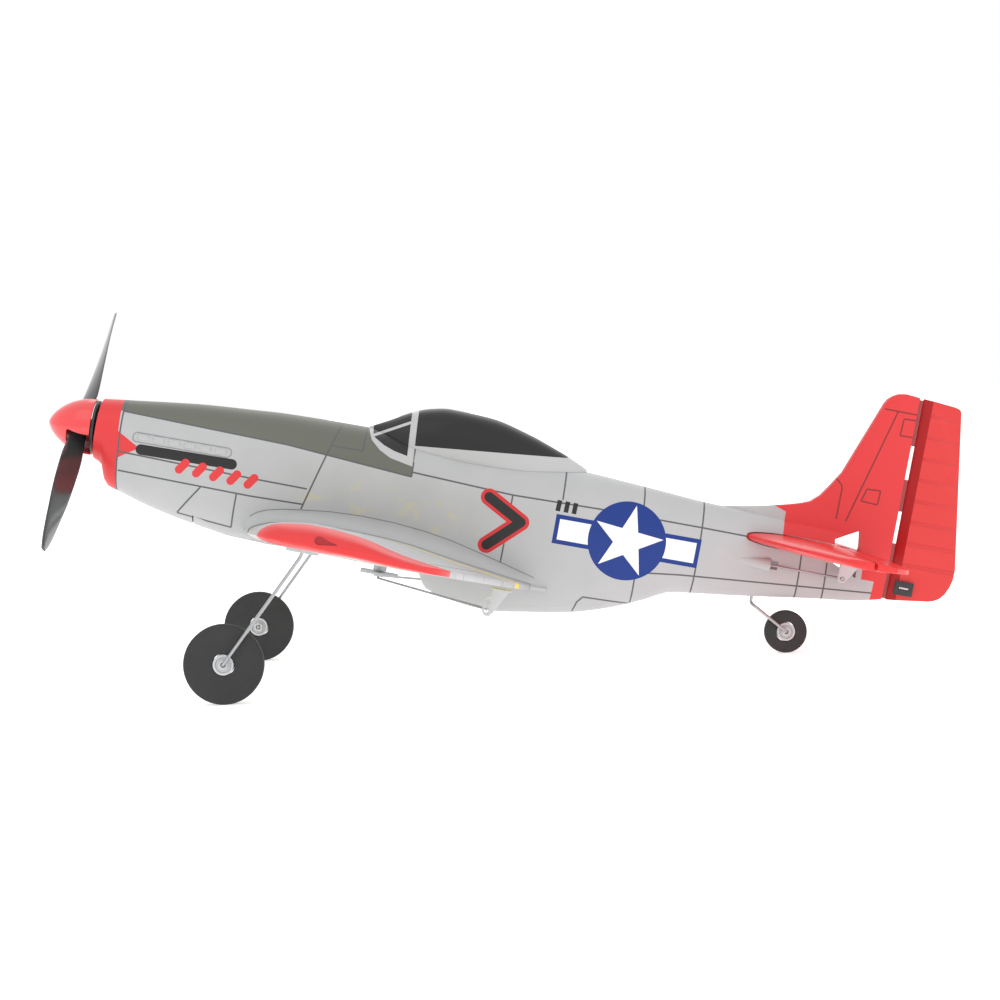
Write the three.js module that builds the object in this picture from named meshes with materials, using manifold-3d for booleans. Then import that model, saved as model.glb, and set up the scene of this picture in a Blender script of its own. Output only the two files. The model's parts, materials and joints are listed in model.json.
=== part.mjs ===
// A foam radio-control fighter of 400 mm span: moulded airframe, wire undercarriage,
// geared motor, battery behind a belly door, and three servos that work the control surfaces.
import * as THREE from "three";
import { LoftGeometry } from "three/addons/geometries/LoftGeometry.js";
import { mergeVertices } from "three/addons/utils/BufferGeometryUtils.js";
import Module from "manifold-3d";

const wasm = await Module();
wasm.setup();

// ---------------------------------------------------------------------------
// Driving dimensions, in millimetres and degrees.
// The airframe is drawn level: x runs aft from the cowl's front face, y to starboard, z up from
// the thrust line. The finished group is then pitched nose-up until it stands on its three wheels.
// ---------------------------------------------------------------------------
const GAP = 0.3;
const WIRE_R = 0.6;
const ROD_R = 0.4;
const ROD_HOLE_R = 0.85;

const DOWNTHRUST = 2.9;
const PROP_RADIUS = 61;
const PROP_PITCH = 100;
const PROP_REST_ANGLE = -45.5;
const SPINNER_RADIUS = 10.45;
const SPINNER_TIP = -19;
const PROP_X = -7;

const SHAFT_R = 1.5;
const GEAR_MODULE = 0.5;
const SPUR_TEETH = 26;
const PINION_TEETH = 10;
const GEAR_CENTRES = (GEAR_MODULE * (SPUR_TEETH + PINION_TEETH)) / 2;

const HALF_SPAN = 200;
const ROOT_Y = 22;
const TIP_Y = 196;
const WING_LE = { x: 62.3, z: -26.6, sweep: 0.1067, rise: 0.0787 };
const WING_TE = { x: 164.7, z: -28.0, sweep: -0.1776, rise: 0.0815 };
const WING_BELLY_Z = -28.9;

const AILERON = { inner: 46, outer: 178, innerX: 150.0, outerX: 129.7 };
const AILERON_GAP = 0.6;
const AILERON_HORN_Y = 50;

const FIN_REAR = 296.2;
const RUDDER_FRONT = 297.8;
const RUDDER_HINGE_X = 297.05;
const RUDDER_HORN_HOLE = { x: 298.6, y: 9.3, z: -4.7 };

const TAIL_Z = 4.3;
const STAB_HALF_SPAN = 75;
const STAB_REAR = 276.0;
const ELEVATOR_FRONT = 277.2;
const ELEVATOR_HINGE_X = 276.6;
const ELEVATOR_HORN_HOLE = { x: 278.5, y: -10, z: -4.8 };

const MAIN_AXLE = { x: 65.7, y: 60.8, z: -69.2 };
const TAIL_AXLE = { x: 263.4, y: 0, z: -28.4 };
const MAIN_WHEEL = { radius: 13.75, width: 5, hubRadius: 3.6, sides: 32 };
const TAIL_WHEEL = { radius: 7.9, width: 3.4, hubRadius: 3.4, sides: 24 };

const BAY = { front: 40, rear: 94, halfWidth: 9.2, roof: -13.5 };
const HATCH_PIN = { x: 38, z: -26.6 };

const AILERON_SERVO = { x: 110.7, y: 0, z: -33.5 };
const AILERON_ARM = 6;
const ELEVATOR_SERVO = { x: 166, y: -4, z: TAIL_Z };
const RUDDER_SERVO = { x: 190, y: 0, z: -5.2 };

// Fuselage stations: x, crown z, keel z, half width, and the z of the widest point.
const FUSELAGE = [
  [0, 11.0, -11.4, 11.2, -0.2],
  [3.1, 11.4, -12.9, 11.8, -0.8],
  [5.9, 11.8, -19.9, 12.2, -3],
  [10.2, 12.3, -21.4, 12.8, -4],
  [24, 14.1, -25.4, 14, -5],
  [38, 15.7, -28.3, 15.2, -6],
  [53, 16.8, -30.7, 16.3, -7],
  [68, 17.8, -31.2, 17, -7],
  [98, 18.3, -30.4, 17.5, -7],
  [123, 17.4, -29.6, 17.5, -7],
  [128.4, 17.2, -36.5, 17.3, -8],
  [136, 17, -38.9, 17.2, -9],
  [151.8, 17, -40.6, 16.8, -9],
  [167, 17, -38.6, 15.8, -8],
  [183, 16.4, -35.8, 14.3, -7],
  [197, 15.5, -31.5, 12.6, -6],
  [209, 14.7, -26.3, 11.0, -5],
  [218, 14.0, -21.8, 9.9, -3.5],
  [226, 13.5, -20.7, 9.0, -3],
  [241, 13.2, -18.8, 7.6, -2.5],
  [256, 13.0, -16.7, 6.2, -1.7],
  [271, 12.8, -14.5, 4.9, -0.8],
  [286, 12.6, -12.6, 3.6, 0],
  [FIN_REAR, 12.4, -10.3, 2.5, 1],
];

// Canopy stations: x, crown z and half width; every section reaches down to the deck.
const CANOPY = [
  [97.5, 18.6, 1.5],
  [104.5, 22.3, 6.4],
  [111.3, 26.2, 9.4],
  [118.3, 29.0, 10.8],
  [126, 30.3, 11.3],
  [140.7, 29.8, 11.2],
  [156.4, 26.3, 9.8],
  [164.5, 23.6, 8.3],
  [172.6, 20.6, 6.2],
  [179.5, 17.4, 3],
];
const CANOPY_BASE = 8;

// Wing section: fraction of the chord, and the upper and lower surface as fractions of it.
const WING_SECTION = [
  [0, 0, 0],
  [0.03, 0.03, -0.013],
  [0.1, 0.054, -0.02],
  [0.28, 0.074, -0.022],
  [0.5, 0.068, -0.02],
  [0.75, 0.036, -0.012],
  [1, 0, 0],
];
// The same at the tip, where the wing is fuller towards the front.
const TIP_SECTION = [
  [0, 0, 0],
  [0.03, 0.05, -0.016],
  [0.1, 0.085, -0.024],
  [0.28, 0.107, -0.021],
  [0.5, 0.092, -0.009],
  [0.75, 0.036, -0.012],
  [1, 0, 0],
];
const TRAILING_EDGE_HALF = 0.9;

// Propeller blade: radius and chord.
const BLADE = [
  [2, 6],
  [10, 7.5],
  [20, 10],
  [34, 11.5],
  [48, 9.5],
  [57, 6.5],
  [PROP_RADIUS, 3],
];

const FINISH = {
  silverFoam: { color: 0xc4c4c4, roughness: 0.55, metalness: 0.1 },
  redFoam: { color: 0xe63c3c, roughness: 0.45, metalness: 0 },
  canopyBlack: { color: 0x303030, roughness: 0.2, metalness: 0 },
  spinnerRed: { color: 0xd83a3c, roughness: 0.25, metalness: 0 },
  greyPlastic: { color: 0xcfd0d0, roughness: 0.4, metalness: 0 },
  blackPlastic: { color: 0x2c2c2e, roughness: 0.4, metalness: 0 },
  bladeGrey: { color: 0x464848, roughness: 0.25, metalness: 0 },
  tyreFoam: { color: 0x383838, roughness: 0.85, metalness: 0 },
  steel: { color: 0xb8babc, roughness: 0.3, metalness: 0.9 },
  brass: { color: 0xb9975b, roughness: 0.35, metalness: 0.9 },
  carbon: { color: 0x26272a, roughness: 0.4, metalness: 0 },
  blueServo: { color: 0x2a4f9c, roughness: 0.35, metalness: 0 },
  board: { color: 0x1f6b3f, roughness: 0.5, metalness: 0 },
  cellWrap: { color: 0x2b4a86, roughness: 0.35, metalness: 0 },
  hingeFilm: { color: 0xb23030, roughness: 0.5, metalness: 0 },
};

// ---------------------------------------------------------------------------
// Solid helpers.
// ---------------------------------------------------------------------------
const radians = THREE.MathUtils.degToRad;
const vec = (x, y, z) => new THREE.Vector3(x, y, z);

// Turns a closed geometry into a solid for joining and cutting.
function solid(geometry) {
  const bare = geometry.index ? geometry.toNonIndexed() : geometry.clone();
  bare.deleteAttribute("normal");
  bare.deleteAttribute("uv");
  const merged = mergeVertices(bare, 1e-4);
  return new wasm.Manifold(
    new wasm.Mesh({
      numProp: 3,
      vertProperties: merged.attributes.position.array,
      triVerts: new Uint32Array(merged.index.array),
    })
  );
}

function geometryOf(shape) {
  const mesh = shape.getMesh();
  const geometry = new THREE.BufferGeometry();
  geometry.setAttribute("position", new THREE.BufferAttribute(mesh.vertProperties, 3));
  geometry.setIndex(new THREE.BufferAttribute(mesh.triVerts, 1));
  geometry.computeVertexNormals();
  return geometry;
}

const join = (first, ...rest) => rest.reduce((sum, shape) => sum.add(shape), first);
const cut = (first, ...rest) => rest.reduce((left, shape) => left.subtract(shape), first);

function box([x0, x1], [y0, y1], [z0, z1]) {
  const geometry = new THREE.BoxGeometry(x1 - x0, y1 - y0, z1 - z0);
  return solid(geometry.translate((x0 + x1) / 2, (y0 + y1) / 2, (z0 + z1) / 2));
}

// A cylinder or cone between two points.
function bar(from, to, radius, sides = 16, endRadius = radius) {
  const along = to.clone().sub(from);
  const geometry = new THREE.CylinderGeometry(endRadius, radius, along.length(), sides);
  const turn = new THREE.Quaternion().setFromUnitVectors(vec(0, 1, 0), along.clone().normalize());
  geometry.applyQuaternion(turn);
  const middle = from.clone().add(to).multiplyScalar(0.5);
  return solid(geometry.translate(middle.x, middle.y, middle.z));
}

const barX = (x0, x1, y, z, radius, sides) => bar(vec(x0, y, z), vec(x1, y, z), radius, sides);
const barY = (y0, y1, x, z, radius, sides) => bar(vec(x, y0, z), vec(x, y1, z), radius, sides);
const barZ = (z0, z1, x, y, radius, sides) => bar(vec(x, y, z0), vec(x, y, z1), radius, sides);

// A bar along the thrust line, or below it by drop, for the hollows that the drive train sits in.
function thrustBar(x0, x1, drop, radius, sides) {
  const axis = vec(0, 1, 0);
  const [from, to] = [x0, x1].map((x) => vec(x, 0, -drop).applyAxisAngle(axis, radians(-DOWNTHRUST)));
  return bar(from, to, radius, sides);
}

// Round wire bent at each listed point.
function wire(points, radius) {
  const sides = 8;
  let shape = bar(points[0], points[1], radius, sides);
  for (let i = 1; i < points.length - 1; i += 1) {
    const elbow = new THREE.SphereGeometry(radius, sides, 6);
    elbow.translate(points[i].x, points[i].y, points[i].z);
    shape = join(shape, solid(elbow), bar(points[i], points[i + 1], radius, sides));
  }
  return shape;
}

// A flat plate whose outline lies in the x-z plane, between two y values.
function plateXZ(outline, y0, y1) {
  const shape = new THREE.Shape(outline.map(([x, z]) => new THREE.Vector2(x, z)));
  const geometry = new THREE.ExtrudeGeometry(shape, { depth: y1 - y0, bevelEnabled: false });
  return solid(geometry.rotateX(Math.PI / 2).translate(0, y1, 0));
}

// A flat plate whose outline lies in the x-y plane, between two z values.
function plateXY(outline, z0, z1) {
  const shape = new THREE.Shape(outline.map(([x, y]) => new THREE.Vector2(x, y)));
  const geometry = new THREE.ExtrudeGeometry(shape, { depth: z1 - z0, bevelEnabled: false });
  return solid(geometry.translate(0, 0, z0));
}

// Skins a row of rings. Each ring has to run anticlockwise as seen from the far end, so rings
// that run the other way are turned round first.
function loft(sections) {
  const [ring, next] = sections;
  const around = vec(0, 0, 0);
  ring.forEach((point, i) => around.add(point.clone().cross(ring[(i + 1) % ring.length])));
  const backwards = around.dot(next[0].clone().sub(ring[0])) < 0;
  const rings = sections.map((section) => (backwards ? [...section].reverse() : section));
  return solid(new LoftGeometry(rings, { capStart: true, capEnd: true }));
}

// A named mesh with a material of its own.
function piece(name, shape, finish) {
  const mesh = new THREE.Mesh(geometryOf(shape), new THREE.MeshStandardMaterial(finish));
  mesh.name = name;
  return mesh;
}

// ---------------------------------------------------------------------------
// Fuselage, fin and canopy.
// ---------------------------------------------------------------------------

// One rounded section: a superellipse with its own height above and below the widest point.
function roundSection([x, crown, keel, halfWidth, waist], grow = 0) {
  const points = 28;
  const power = 2 / 2.2;
  const ring = [];
  for (let i = 0; i < points; i += 1) {
    const angle = (2 * Math.PI * i) / points;
    const sine = Math.sin(angle);
    const cosine = Math.cos(angle);
    const reach = sine > 0 ? crown + grow - waist : waist - keel + grow;
    const y = (halfWidth + grow) * Math.sign(cosine) * Math.abs(cosine) ** power;
    ring.push(vec(x, y, waist + reach * Math.sign(sine) * Math.abs(sine) ** power));
  }
  return ring;
}

const fuselageLoft = (grow = 0) => loft(FUSELAGE.map((station) => roundSection(station, grow)));

function finBlade() {
  const half = 2.2;
  const outline = [
    [232, 10], [232, 13.4], [242.4, 15.3], [251.4, 17.3], [258, 19], [264.3, 21.4],
    [269.5, 28.1], [273, 33.6],
    [284.1, 63.0], [287, 65.4], [290.6, 66.4], [FIN_REAR, 65.9], [FIN_REAR, 0], [255, 0],
  ];
  const wedge = [
    [226, 0], [255, half + 0.1], [FIN_REAR + 1, half + 0.1], [FIN_REAR + 1, -half - 0.1],
    [255, -half - 0.1],
  ];
  return plateXZ(outline, -half, half).intersect(plateXY(wedge, -20, 70));
}

// The hollows that carry the motor, battery, receiver and servos.
function fuselagePockets() {
  return [
    thrustBar(-1, 21.5, 0, 9.5, 28),
    thrustBar(5.9, 42, GEAR_CENTRES, 5.5, 20),
    box([BAY.front, BAY.rear], [-BAY.halfWidth, BAY.halfWidth], [-40, BAY.roof]),
    box([HATCH_PIN.x - 1.7, BAY.front + 1], [-2.6, 2.6], [-40, HATCH_PIN.z + 1.7]),
    box([BAY.front - 0.6, BAY.front + 0.1], [-5.2, 5.2], [-40, HATCH_PIN.z - 0.8]),
    barY(-5, 5, HATCH_PIN.x, HATCH_PIN.z, 0.8, 10),
    box([98, 150], [-10, 10], [-25, 9]),
    box([106.2, 115.2], [-5.2, 12.6], [-26, -15.8]),
    box([149, 173.4], [-8.6, 11.2], [-9, 8.9]),
    box([172, 197], [-7.6, 7.6], [-24, 6]),
    box([180, 199], [-8, 11.4], [-7.2, -1.4]),
    box([196, 240], [-7.2, -5], [-7.2, -2.4]),
    bar(vec(239, -6.3, -4.45), vec(255, -6.6, -4.7), 1.15, 12, 1.7),
    box([198, 240], [7.9, 10.1], [-3.8, -2.0]),
    barZ(-26, -9.4, 248.5, 0, 0.9, 10),
  ];
}

// Streamlined swellings that the two tail pushrods leave through.
function rodFairings() {
  return [
    bar(vec(229, -6.3, -4.9), vec(252, -6.5, -4.9), 0.3, 16, 2.6),
    bar(vec(206, 9, -2.9), vec(229, 9.2, -2.9), 0.3, 16, 2.5),
  ];
}

// The slot in the tail that the elevator's joining bar swings in.
function joinerSlot() {
  const outline = [
    [274.6, 8.8], [283.6, 13.6], [284.6, 8], [284.6, -4], [275.2, 0],
  ];
  return plateXZ(outline, -12, 12);
}

function wholeFuselage() {
  const skin = join(fuselageLoft(), finBlade(), ...rodFairings());
  const underWing = box([BAY.rear, 123], [-30, 30], [-50, WING_BELLY_Z]);
  const chin = bar(vec(2, 0, -16.3), vec(12, 0, -15), 3.4, 16, 1.5);
  return cut(
    skin,
    ...fuselagePockets(),
    joinerSlot(),
    stabiliserShape(GAP),
    wingShape(1, GAP, 0),
    wingShape(-1, GAP, 0),
    underWing,
    chin
  );
}

function canopy() {
  const sections = CANOPY.map(([x, crown, halfWidth]) =>
    roundSection([x, crown, CANOPY_BASE, halfWidth, CANOPY_BASE + 6])
  );
  return cut(loft(sections), fuselageLoft(GAP));
}

// ---------------------------------------------------------------------------
// Wing and ailerons.
// ---------------------------------------------------------------------------

// Leading or trailing edge point at a distance y from the centre; the centre section is level.
function edgePoint(edge, y) {
  const out = Math.max(y, ROOT_Y) - ROOT_Y;
  return { x: edge.x + (y - ROOT_Y) * edge.sweep, z: edge.z + out * edge.rise };
}

// Wing section at a distance y from the centre.
function sectionAt(y) {
  const share = Math.min(Math.max(y - ROOT_Y, 0) / (HALF_SPAN - ROOT_Y), 1);
  return WING_SECTION.map((row, k) =>
    row.map((value, column) => value + (TIP_SECTION[k][column] - value) * share)
  );
}

// Ring of the wing's skin at y; trim pulls the two edges in where the tip is rounded off.
function wingSection(side, y, grow, trim = 0) {
  const lead = edgePoint(WING_LE, y);
  const trail = edgePoint(WING_TE, y);
  const start = lead.x + trim - 2 * grow;
  const chord = trail.x - trim * 0.6 + grow - start;
  const height = (fraction, level) =>
    lead.z + (trail.z - lead.z) * fraction + level * chord * (trim > 0 ? 0.7 : 1);
  const surface = (row, which) => {
    const [fraction, ...levels] = row;
    const rear = TRAILING_EDGE_HALF * fraction + grow;
    const level = which === 0 ? rear : -rear;
    return vec(start + chord * fraction, side * y, height(fraction, levels[which]) + level);
  };
  const rows = sectionAt(y);
  const upper = rows.map((row) => surface(row, 0));
  const lower = rows.slice(1).map((row) => surface(row, 1));
  return [...upper, ...lower.reverse()];
}

function wingShape(side, grow = 0, startY = GAP / 2) {
  const tip = HALF_SPAN + grow;
  return loft([
    wingSection(side, startY, grow),
    wingSection(side, ROOT_Y, grow),
    wingSection(side, 110, grow),
    wingSection(side, 185, grow),
    wingSection(side, TIP_Y, grow, 4),
    wingSection(side, tip, grow, 12),
  ]);
}

const hingeX = (y) =>
  AILERON.innerX +
  ((AILERON.outerX - AILERON.innerX) * (y - AILERON.inner)) / (AILERON.outer - AILERON.inner);

// Height of the middle of the wing's thickness at a point of its plan.
function wingMiddle(x, y) {
  const lead = edgePoint(WING_LE, y);
  const trail = edgePoint(WING_TE, y);
  const fraction = (x - lead.x) / (trail.x - lead.x);
  const rise = 0.036 - ((fraction - 0.75) / 0.25) * 0.036;
  const fall = -0.012 + ((fraction - 0.75) / 0.25) * 0.012;
  return lead.z + (trail.z - lead.z) * fraction + ((rise + fall) / 2) * (trail.x - lead.x);
}

// Everything aft of the aileron hinge line, between two distances from the centre.
function aileronPrism(side, inner, outer, setBack) {
  const outline = [
    [hingeX(inner) + setBack, side * inner],
    [hingeX(outer) + setBack, side * outer],
    [hingeX(outer) + 30, side * outer],
    [hingeX(inner) + 30, side * inner],
  ];
  return plateXY(side > 0 ? outline : outline.reverse(), -60, 20);
}

const gearMountBox = (side, grow) => {
  const inner = 58.5 - grow;
  const outer = 67.5 + grow;
  const across = side > 0 ? [inner, outer] : [-outer, -inner];
  return box([80 - grow, 91 + grow], across, [-26.4 - 4 * grow, -22.4 + grow]);
};

function wingPanel(side) {
  return cut(
    wingShape(side),
    aileronPrism(side, AILERON.inner - 0.5, AILERON.outer + 0.5, -AILERON_GAP),
    box([40, BAY.rear], [-10.2, 10.2], [-40, 0]),
    box([106.2, 115.2], [-7.4, 15], [-40, 0]),
    barY(-56.4, 56.4, 101.5, -23.6, 1.4, 12),
    gearMountBox(side, GAP)
  );
}

const wingSpar = () => barY(-56, 56, 101.5, -23.6, 1.1, 12);

const aileron = (side) =>
  wingShape(side).intersect(aileronPrism(side, AILERON.inner, AILERON.outer, AILERON_GAP));

// The thin foam web that an aileron bends on.
function aileronHinge(side) {
  const onLine = (y) => vec(hingeX(y), y, wingMiddle(hingeX(y), y));
  const ends = [onLine(AILERON.inner + 1), onLine(AILERON.outer - 1)];
  const half = 0.27;
  const ring = ({ x, y, z }) => [
    vec(x - half, side * y, z - half),
    vec(x + half, side * y, z - half),
    vec(x + half, side * y, z + half),
    vec(x - half, side * y, z + half),
  ];
  return loft(ends.map(ring));
}

// ---------------------------------------------------------------------------
// Tail surfaces.
// ---------------------------------------------------------------------------

function stabiliserRing(y, leading, half, grow) {
  const start = leading - grow;
  const chord = STAB_REAR + grow - start;
  const profile = [
    [0, 0.2], [0.15, 0.75], [0.45, 1], [1, 0.86],
  ];
  const top = profile.map(([f, t]) => vec(start + chord * f, y, TAIL_Z + half * t + grow));
  const bottom = profile.map(([f, t]) => vec(start + chord * f, y, TAIL_Z - half * t - grow));
  return [...top, ...bottom.reverse()];
}

function stabiliserShape(grow = 0) {
  const stations = [
    [0, 240, 2.6], [8, 242.2, 2.6], [66, 265, 1.9], [72, 268.5, 1.7], [STAB_HALF_SPAN, 273, 1.4],
  ];
  const starboard = stations.slice(1).map(([y, lead, half]) => stabiliserRing(y, lead, half, grow));
  const port = stations.slice(1).map(([y, lead, half]) => stabiliserRing(-y, lead, half, grow));
  const [middle] = stations;
  return loft([...port.reverse(), stabiliserRing(...middle, grow), ...starboard]);
}

function elevatorRing(y, trailing, half) {
  const thin = 0.8;
  return [
    vec(ELEVATOR_FRONT, y, TAIL_Z + half),
    vec(trailing, y, TAIL_Z + thin),
    vec(trailing, y, TAIL_Z - thin),
    vec(ELEVATOR_FRONT, y, TAIL_Z - half),
  ];
}

function elevator() {
  const half = (side) =>
    loft([
      elevatorRing(side * 7, 291, 2.1),
      elevatorRing(side * 13, 292.6, 2.1),
      elevatorRing(side * 68, 289.4, 1.6),
      elevatorRing(side * STAB_HALF_SPAN, 284, 1.2),
    ]);
  const joiner = box([277.6, 283.2], [-8, 8], [TAIL_Z - 1.5, TAIL_Z + 1.5]);
  return join(half(1), half(-1), joiner);
}

function elevatorHinge(side) {
  const across = side > 0 ? [8, 70] : [-70, -8];
  return box([STAB_REAR + GAP, ELEVATOR_FRONT - GAP], across, [TAIL_Z - 0.25, TAIL_Z + 0.25]);
}

function rudder() {
  const outline = [
    [RUDDER_FRONT, 65.9], [309.5, 64.9], [311.6, 64.4], [312.4, 63.1], [321.4, 5.3],
    [320.5, -1.4], [317.5, -6.4], [314.1, -7.7], [RUDDER_FRONT, -10],
  ];
  const taper = [
    [RUDDER_FRONT - 1, 2.2], [RUDDER_FRONT - 1, -2.2], [322, -0.8], [322, 0.8],
  ];
  return plateXZ(outline, -3, 3).intersect(plateXY(taper, -20, 70));
}

// The foam web between fin and rudder, with the two windows that are cut through it.
function rudderHinge() {
  const front = FIN_REAR + GAP;
  const rear = RUDDER_FRONT - GAP;
  const web = box([front, rear], [-0.25, 0.25], [-9.6, 65.2]);
  const windows = [
    [11.2, 23.2], [35.2, 47.9],
  ].map((span) => box([front + 0.3, rear + 1], [-1, 1], span));
  return cut(web, ...windows);
}

// ---------------------------------------------------------------------------
// Control horns.
// ---------------------------------------------------------------------------

function aileronHorn(side) {
  const x = 150.9;
  const y = side * AILERON_HORN_Y;
  const top = wingMiddle(154, AILERON_HORN_Y) - 2.3;
  const outline = [
    [152.4, top], [157.6, top], [157.4, top - 1], [153.4, -36.2], [152.2, -37.8],
    [150.4, -37.8], [149.4, -36.4], [149.4, -31.6], [151.6, -30.6],
  ];
  const plate = plateXZ(outline, y - 0.5, y + 0.5);
  const foot = box([151.4, 158.4], [y - 2, y + 2], [top - 0.6, top]);
  const holes = [-32.6, -35.9].map((z) => barY(y - 2, y + 2, x, z, ROD_HOLE_R, 10));
  return cut(join(plate, foot), ...holes);
}

function elevatorHorn() {
  const { x, y, z } = ELEVATOR_HORN_HOLE;
  const top = TAIL_Z - 2.4;
  const outline = [
    [277.6, top], [284.2, top], [284, top - 1.2], [280.3, z - 0.4], [279.4, z - 1.5],
    [277.6, z - 1.5], [276.9, z - 0.6], [276.9, top - 2],
  ];
  const plate = plateXZ(outline, y - 0.5, y + 0.5);
  const foot = box([277.6, 284.2], [y - 2, y + 2], [top - 0.7, top]);
  return cut(join(plate, foot), barY(y - 2, y + 2, x, z, ROD_HOLE_R, 10));
}

function rudderHorn() {
  const { x, y, z } = RUDDER_HORN_HOLE;
  const foot = 2.7;
  const outline = [
    [298.9, foot], [306.4, foot], [306.2, foot + 1], [300.6, y + 0.6], [299.6, y + 1.6],
    [297.8, y + 1.6], [296.9, y + 0.6], [297.1, foot + 2],
  ];
  const plate = plateXY(outline, z - 0.5, z + 0.5);
  const base = box([299.4, 306.6], [foot, foot + 0.7], [z - 2.6, z + 2.6]);
  return cut(join(plate, base), barZ(z - 2, z + 2, x, y, ROD_HOLE_R, 10));
}

function rudderHornBackplate() {
  const { z } = RUDDER_HORN_HOLE;
  const plate = box([299.6, 306.6], [-3.5, -2.7], [z - 2.6, z + 2.6]);
  return cut(plate, box([301, 305.2], [-4, -2], [z - 0.4, z + 0.6]));
}

// ---------------------------------------------------------------------------
// Servos, arms and pushrods. A servo is drawn with its shaft up z and its arm's underside at 0.
// ---------------------------------------------------------------------------

function servoShape() {
  return join(
    box([-12.2, 4.8], [-4.15, 4.15], [-15.2, -3.3]),
    box([-14.6, 7], [-4.15, 4.15], [-8.9, -7.9]),
    barZ(-3.6, -GAP, 0, 0, 2.5, 16)
  );
}

// Arm with its hub on the z axis; each tip is [x, y] of a pushrod hole or a free end.
function servoArm(tips, thickness) {
  const hub = barZ(0, thickness, 0, 0, 2.6, 16);
  const spokes = tips.map(([x, y]) => {
    const length = Math.hypot(x, y) + 1.7;
    const spoke = new THREE.BoxGeometry(length, 3.6, thickness);
    spoke.translate(length / 2, 0, thickness / 2);
    return solid(spoke.rotateZ(Math.atan2(y, x)));
  });
  const holes = tips.map(([x, y]) => barZ(-1, thickness + 1, x, y, ROD_HOLE_R, 10));
  return cut(join(hub, ...spokes), ...holes);
}

// Places a servo or its arm: shaft up, or turned so that the shaft points down or to port.
function mounted(name, shape, finish, at, rotation) {
  const mesh = piece(name, shape, finish);
  mesh.rotation.set(...rotation);
  mesh.position.set(at.x, at.y, at.z);
  return mesh;
}

const DOWN = [Math.PI, 0, Math.PI / 2];
const TO_PORT = [Math.PI / 2, 0, 0];
const UP = [0, 0, 0];

function aileronRod(side) {
  const arm = vec(AILERON_SERVO.x, side * AILERON_ARM, AILERON_SERVO.z);
  const horn = vec(150.9, side * AILERON_HORN_Y, -35.65);
  return wire(
    [
      vec(arm.x, arm.y, arm.z + 1),
      vec(arm.x, arm.y, horn.z),
      vec(horn.x, horn.y - side * 2.2, horn.z),
      vec(horn.x, horn.y + side * 1.4, horn.z),
    ],
    ROD_R
  );
}

function elevatorRod() {
  const { x, y, z } = ELEVATOR_HORN_HOLE;
  const armX = ELEVATOR_SERVO.x + (x - ELEVATOR_HINGE_X);
  return wire(
    [
      vec(armX, -3.2, z),
      vec(armX, -6.4, z),
      vec(249, -6.4, z),
      vec(266, y + 1.7, z),
      vec(x, y + 1.7, z),
      vec(x, y - 1.2, z),
    ],
    ROD_R
  );
}

function rudderRod() {
  const { x, y, z } = RUDDER_HORN_HOLE;
  const armX = RUDDER_SERVO.x + (x - RUDDER_HINGE_X);
  return wire(
    [vec(armX, y, z - 1.4), vec(armX, y, z + 1.8), vec(x, y, z + 1.8), vec(x, y, z - 1.4)],
    ROD_R
  );
}

// ---------------------------------------------------------------------------
// Undercarriage.
// ---------------------------------------------------------------------------

// Tyre ring about the y axis, turned so that one flat rests on the ground when the model stands.
function tyre({ radius, width, hubRadius, sides }, pitch) {
  const outer = radius / Math.cos(Math.PI / sides);
  const inner = hubRadius + GAP;
  const shoulder = 0.6;
  const profile = [
    [inner, -width / 2], [outer - shoulder, -width / 2], [outer, shoulder - width / 2],
    [outer, width / 2 - shoulder], [outer - shoulder, width / 2], [inner, width / 2],
    [inner, -width / 2],
  ].map(([r, h]) => new THREE.Vector2(r, h));
  const geometry = new THREE.LatheGeometry(profile, sides);
  return solid(geometry.rotateY(Math.PI / sides - pitch));
}

function hub({ width, hubRadius }) {
  const half = width / 2 + 0.2;
  const rim = barY(-half, half, 0, 0, hubRadius, 24);
  const dish = barY(half - 0.8, half + 1, 0, 0, hubRadius - 0.8, 24);
  const backDish = barY(-half - 1, 0.8 - half, 0, 0, hubRadius - 0.8, 24);
  const boss = barY(-half, half, 0, 0, 1.7, 16);
  const bore = barY(-half - 1, half + 1, 0, 0, WIRE_R + GAP, 12);
  return cut(join(cut(rim, dish, backDish), boss), bore);
}

function gearLeg(side) {
  const out = (y) => side * y;
  return wire(
    [
      vec(85.3, out(63), -23.6),
      vec(85.3, out(63), -27.6),
      vec(MAIN_AXLE.x, out(65.6), MAIN_AXLE.z),
      vec(MAIN_AXLE.x, out(56.4), MAIN_AXLE.z),
    ],
    WIRE_R
  );
}

const gearMount = (side) =>
  cut(gearMountBox(side, 0), barZ(-30, -23.3, 85.3, side * 63, WIRE_R + GAP, 12));

function wheelCollar(side) {
  const ends = [side * 56.7, side * 57.8];
  const ring = barY(Math.min(...ends), Math.max(...ends), MAIN_AXLE.x, MAIN_AXLE.z, 1.7, 16);
  return cut(ring, barY(-60, 60, MAIN_AXLE.x, MAIN_AXLE.z, WIRE_R + GAP, 12));
}

function tailGearWire() {
  const { x, z } = TAIL_AXLE;
  return wire(
    [
      vec(248.5, 0, -9.8), vec(248.6, 0, -20.3), vec(250.5, -3.3, -21.3), vec(x, -3.3, z),
      vec(x, 2.9, z),
    ],
    WIRE_R
  );
}

// ---------------------------------------------------------------------------
// Drive train, drawn on the thrust line: x runs aft along the shaft.
// ---------------------------------------------------------------------------

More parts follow.
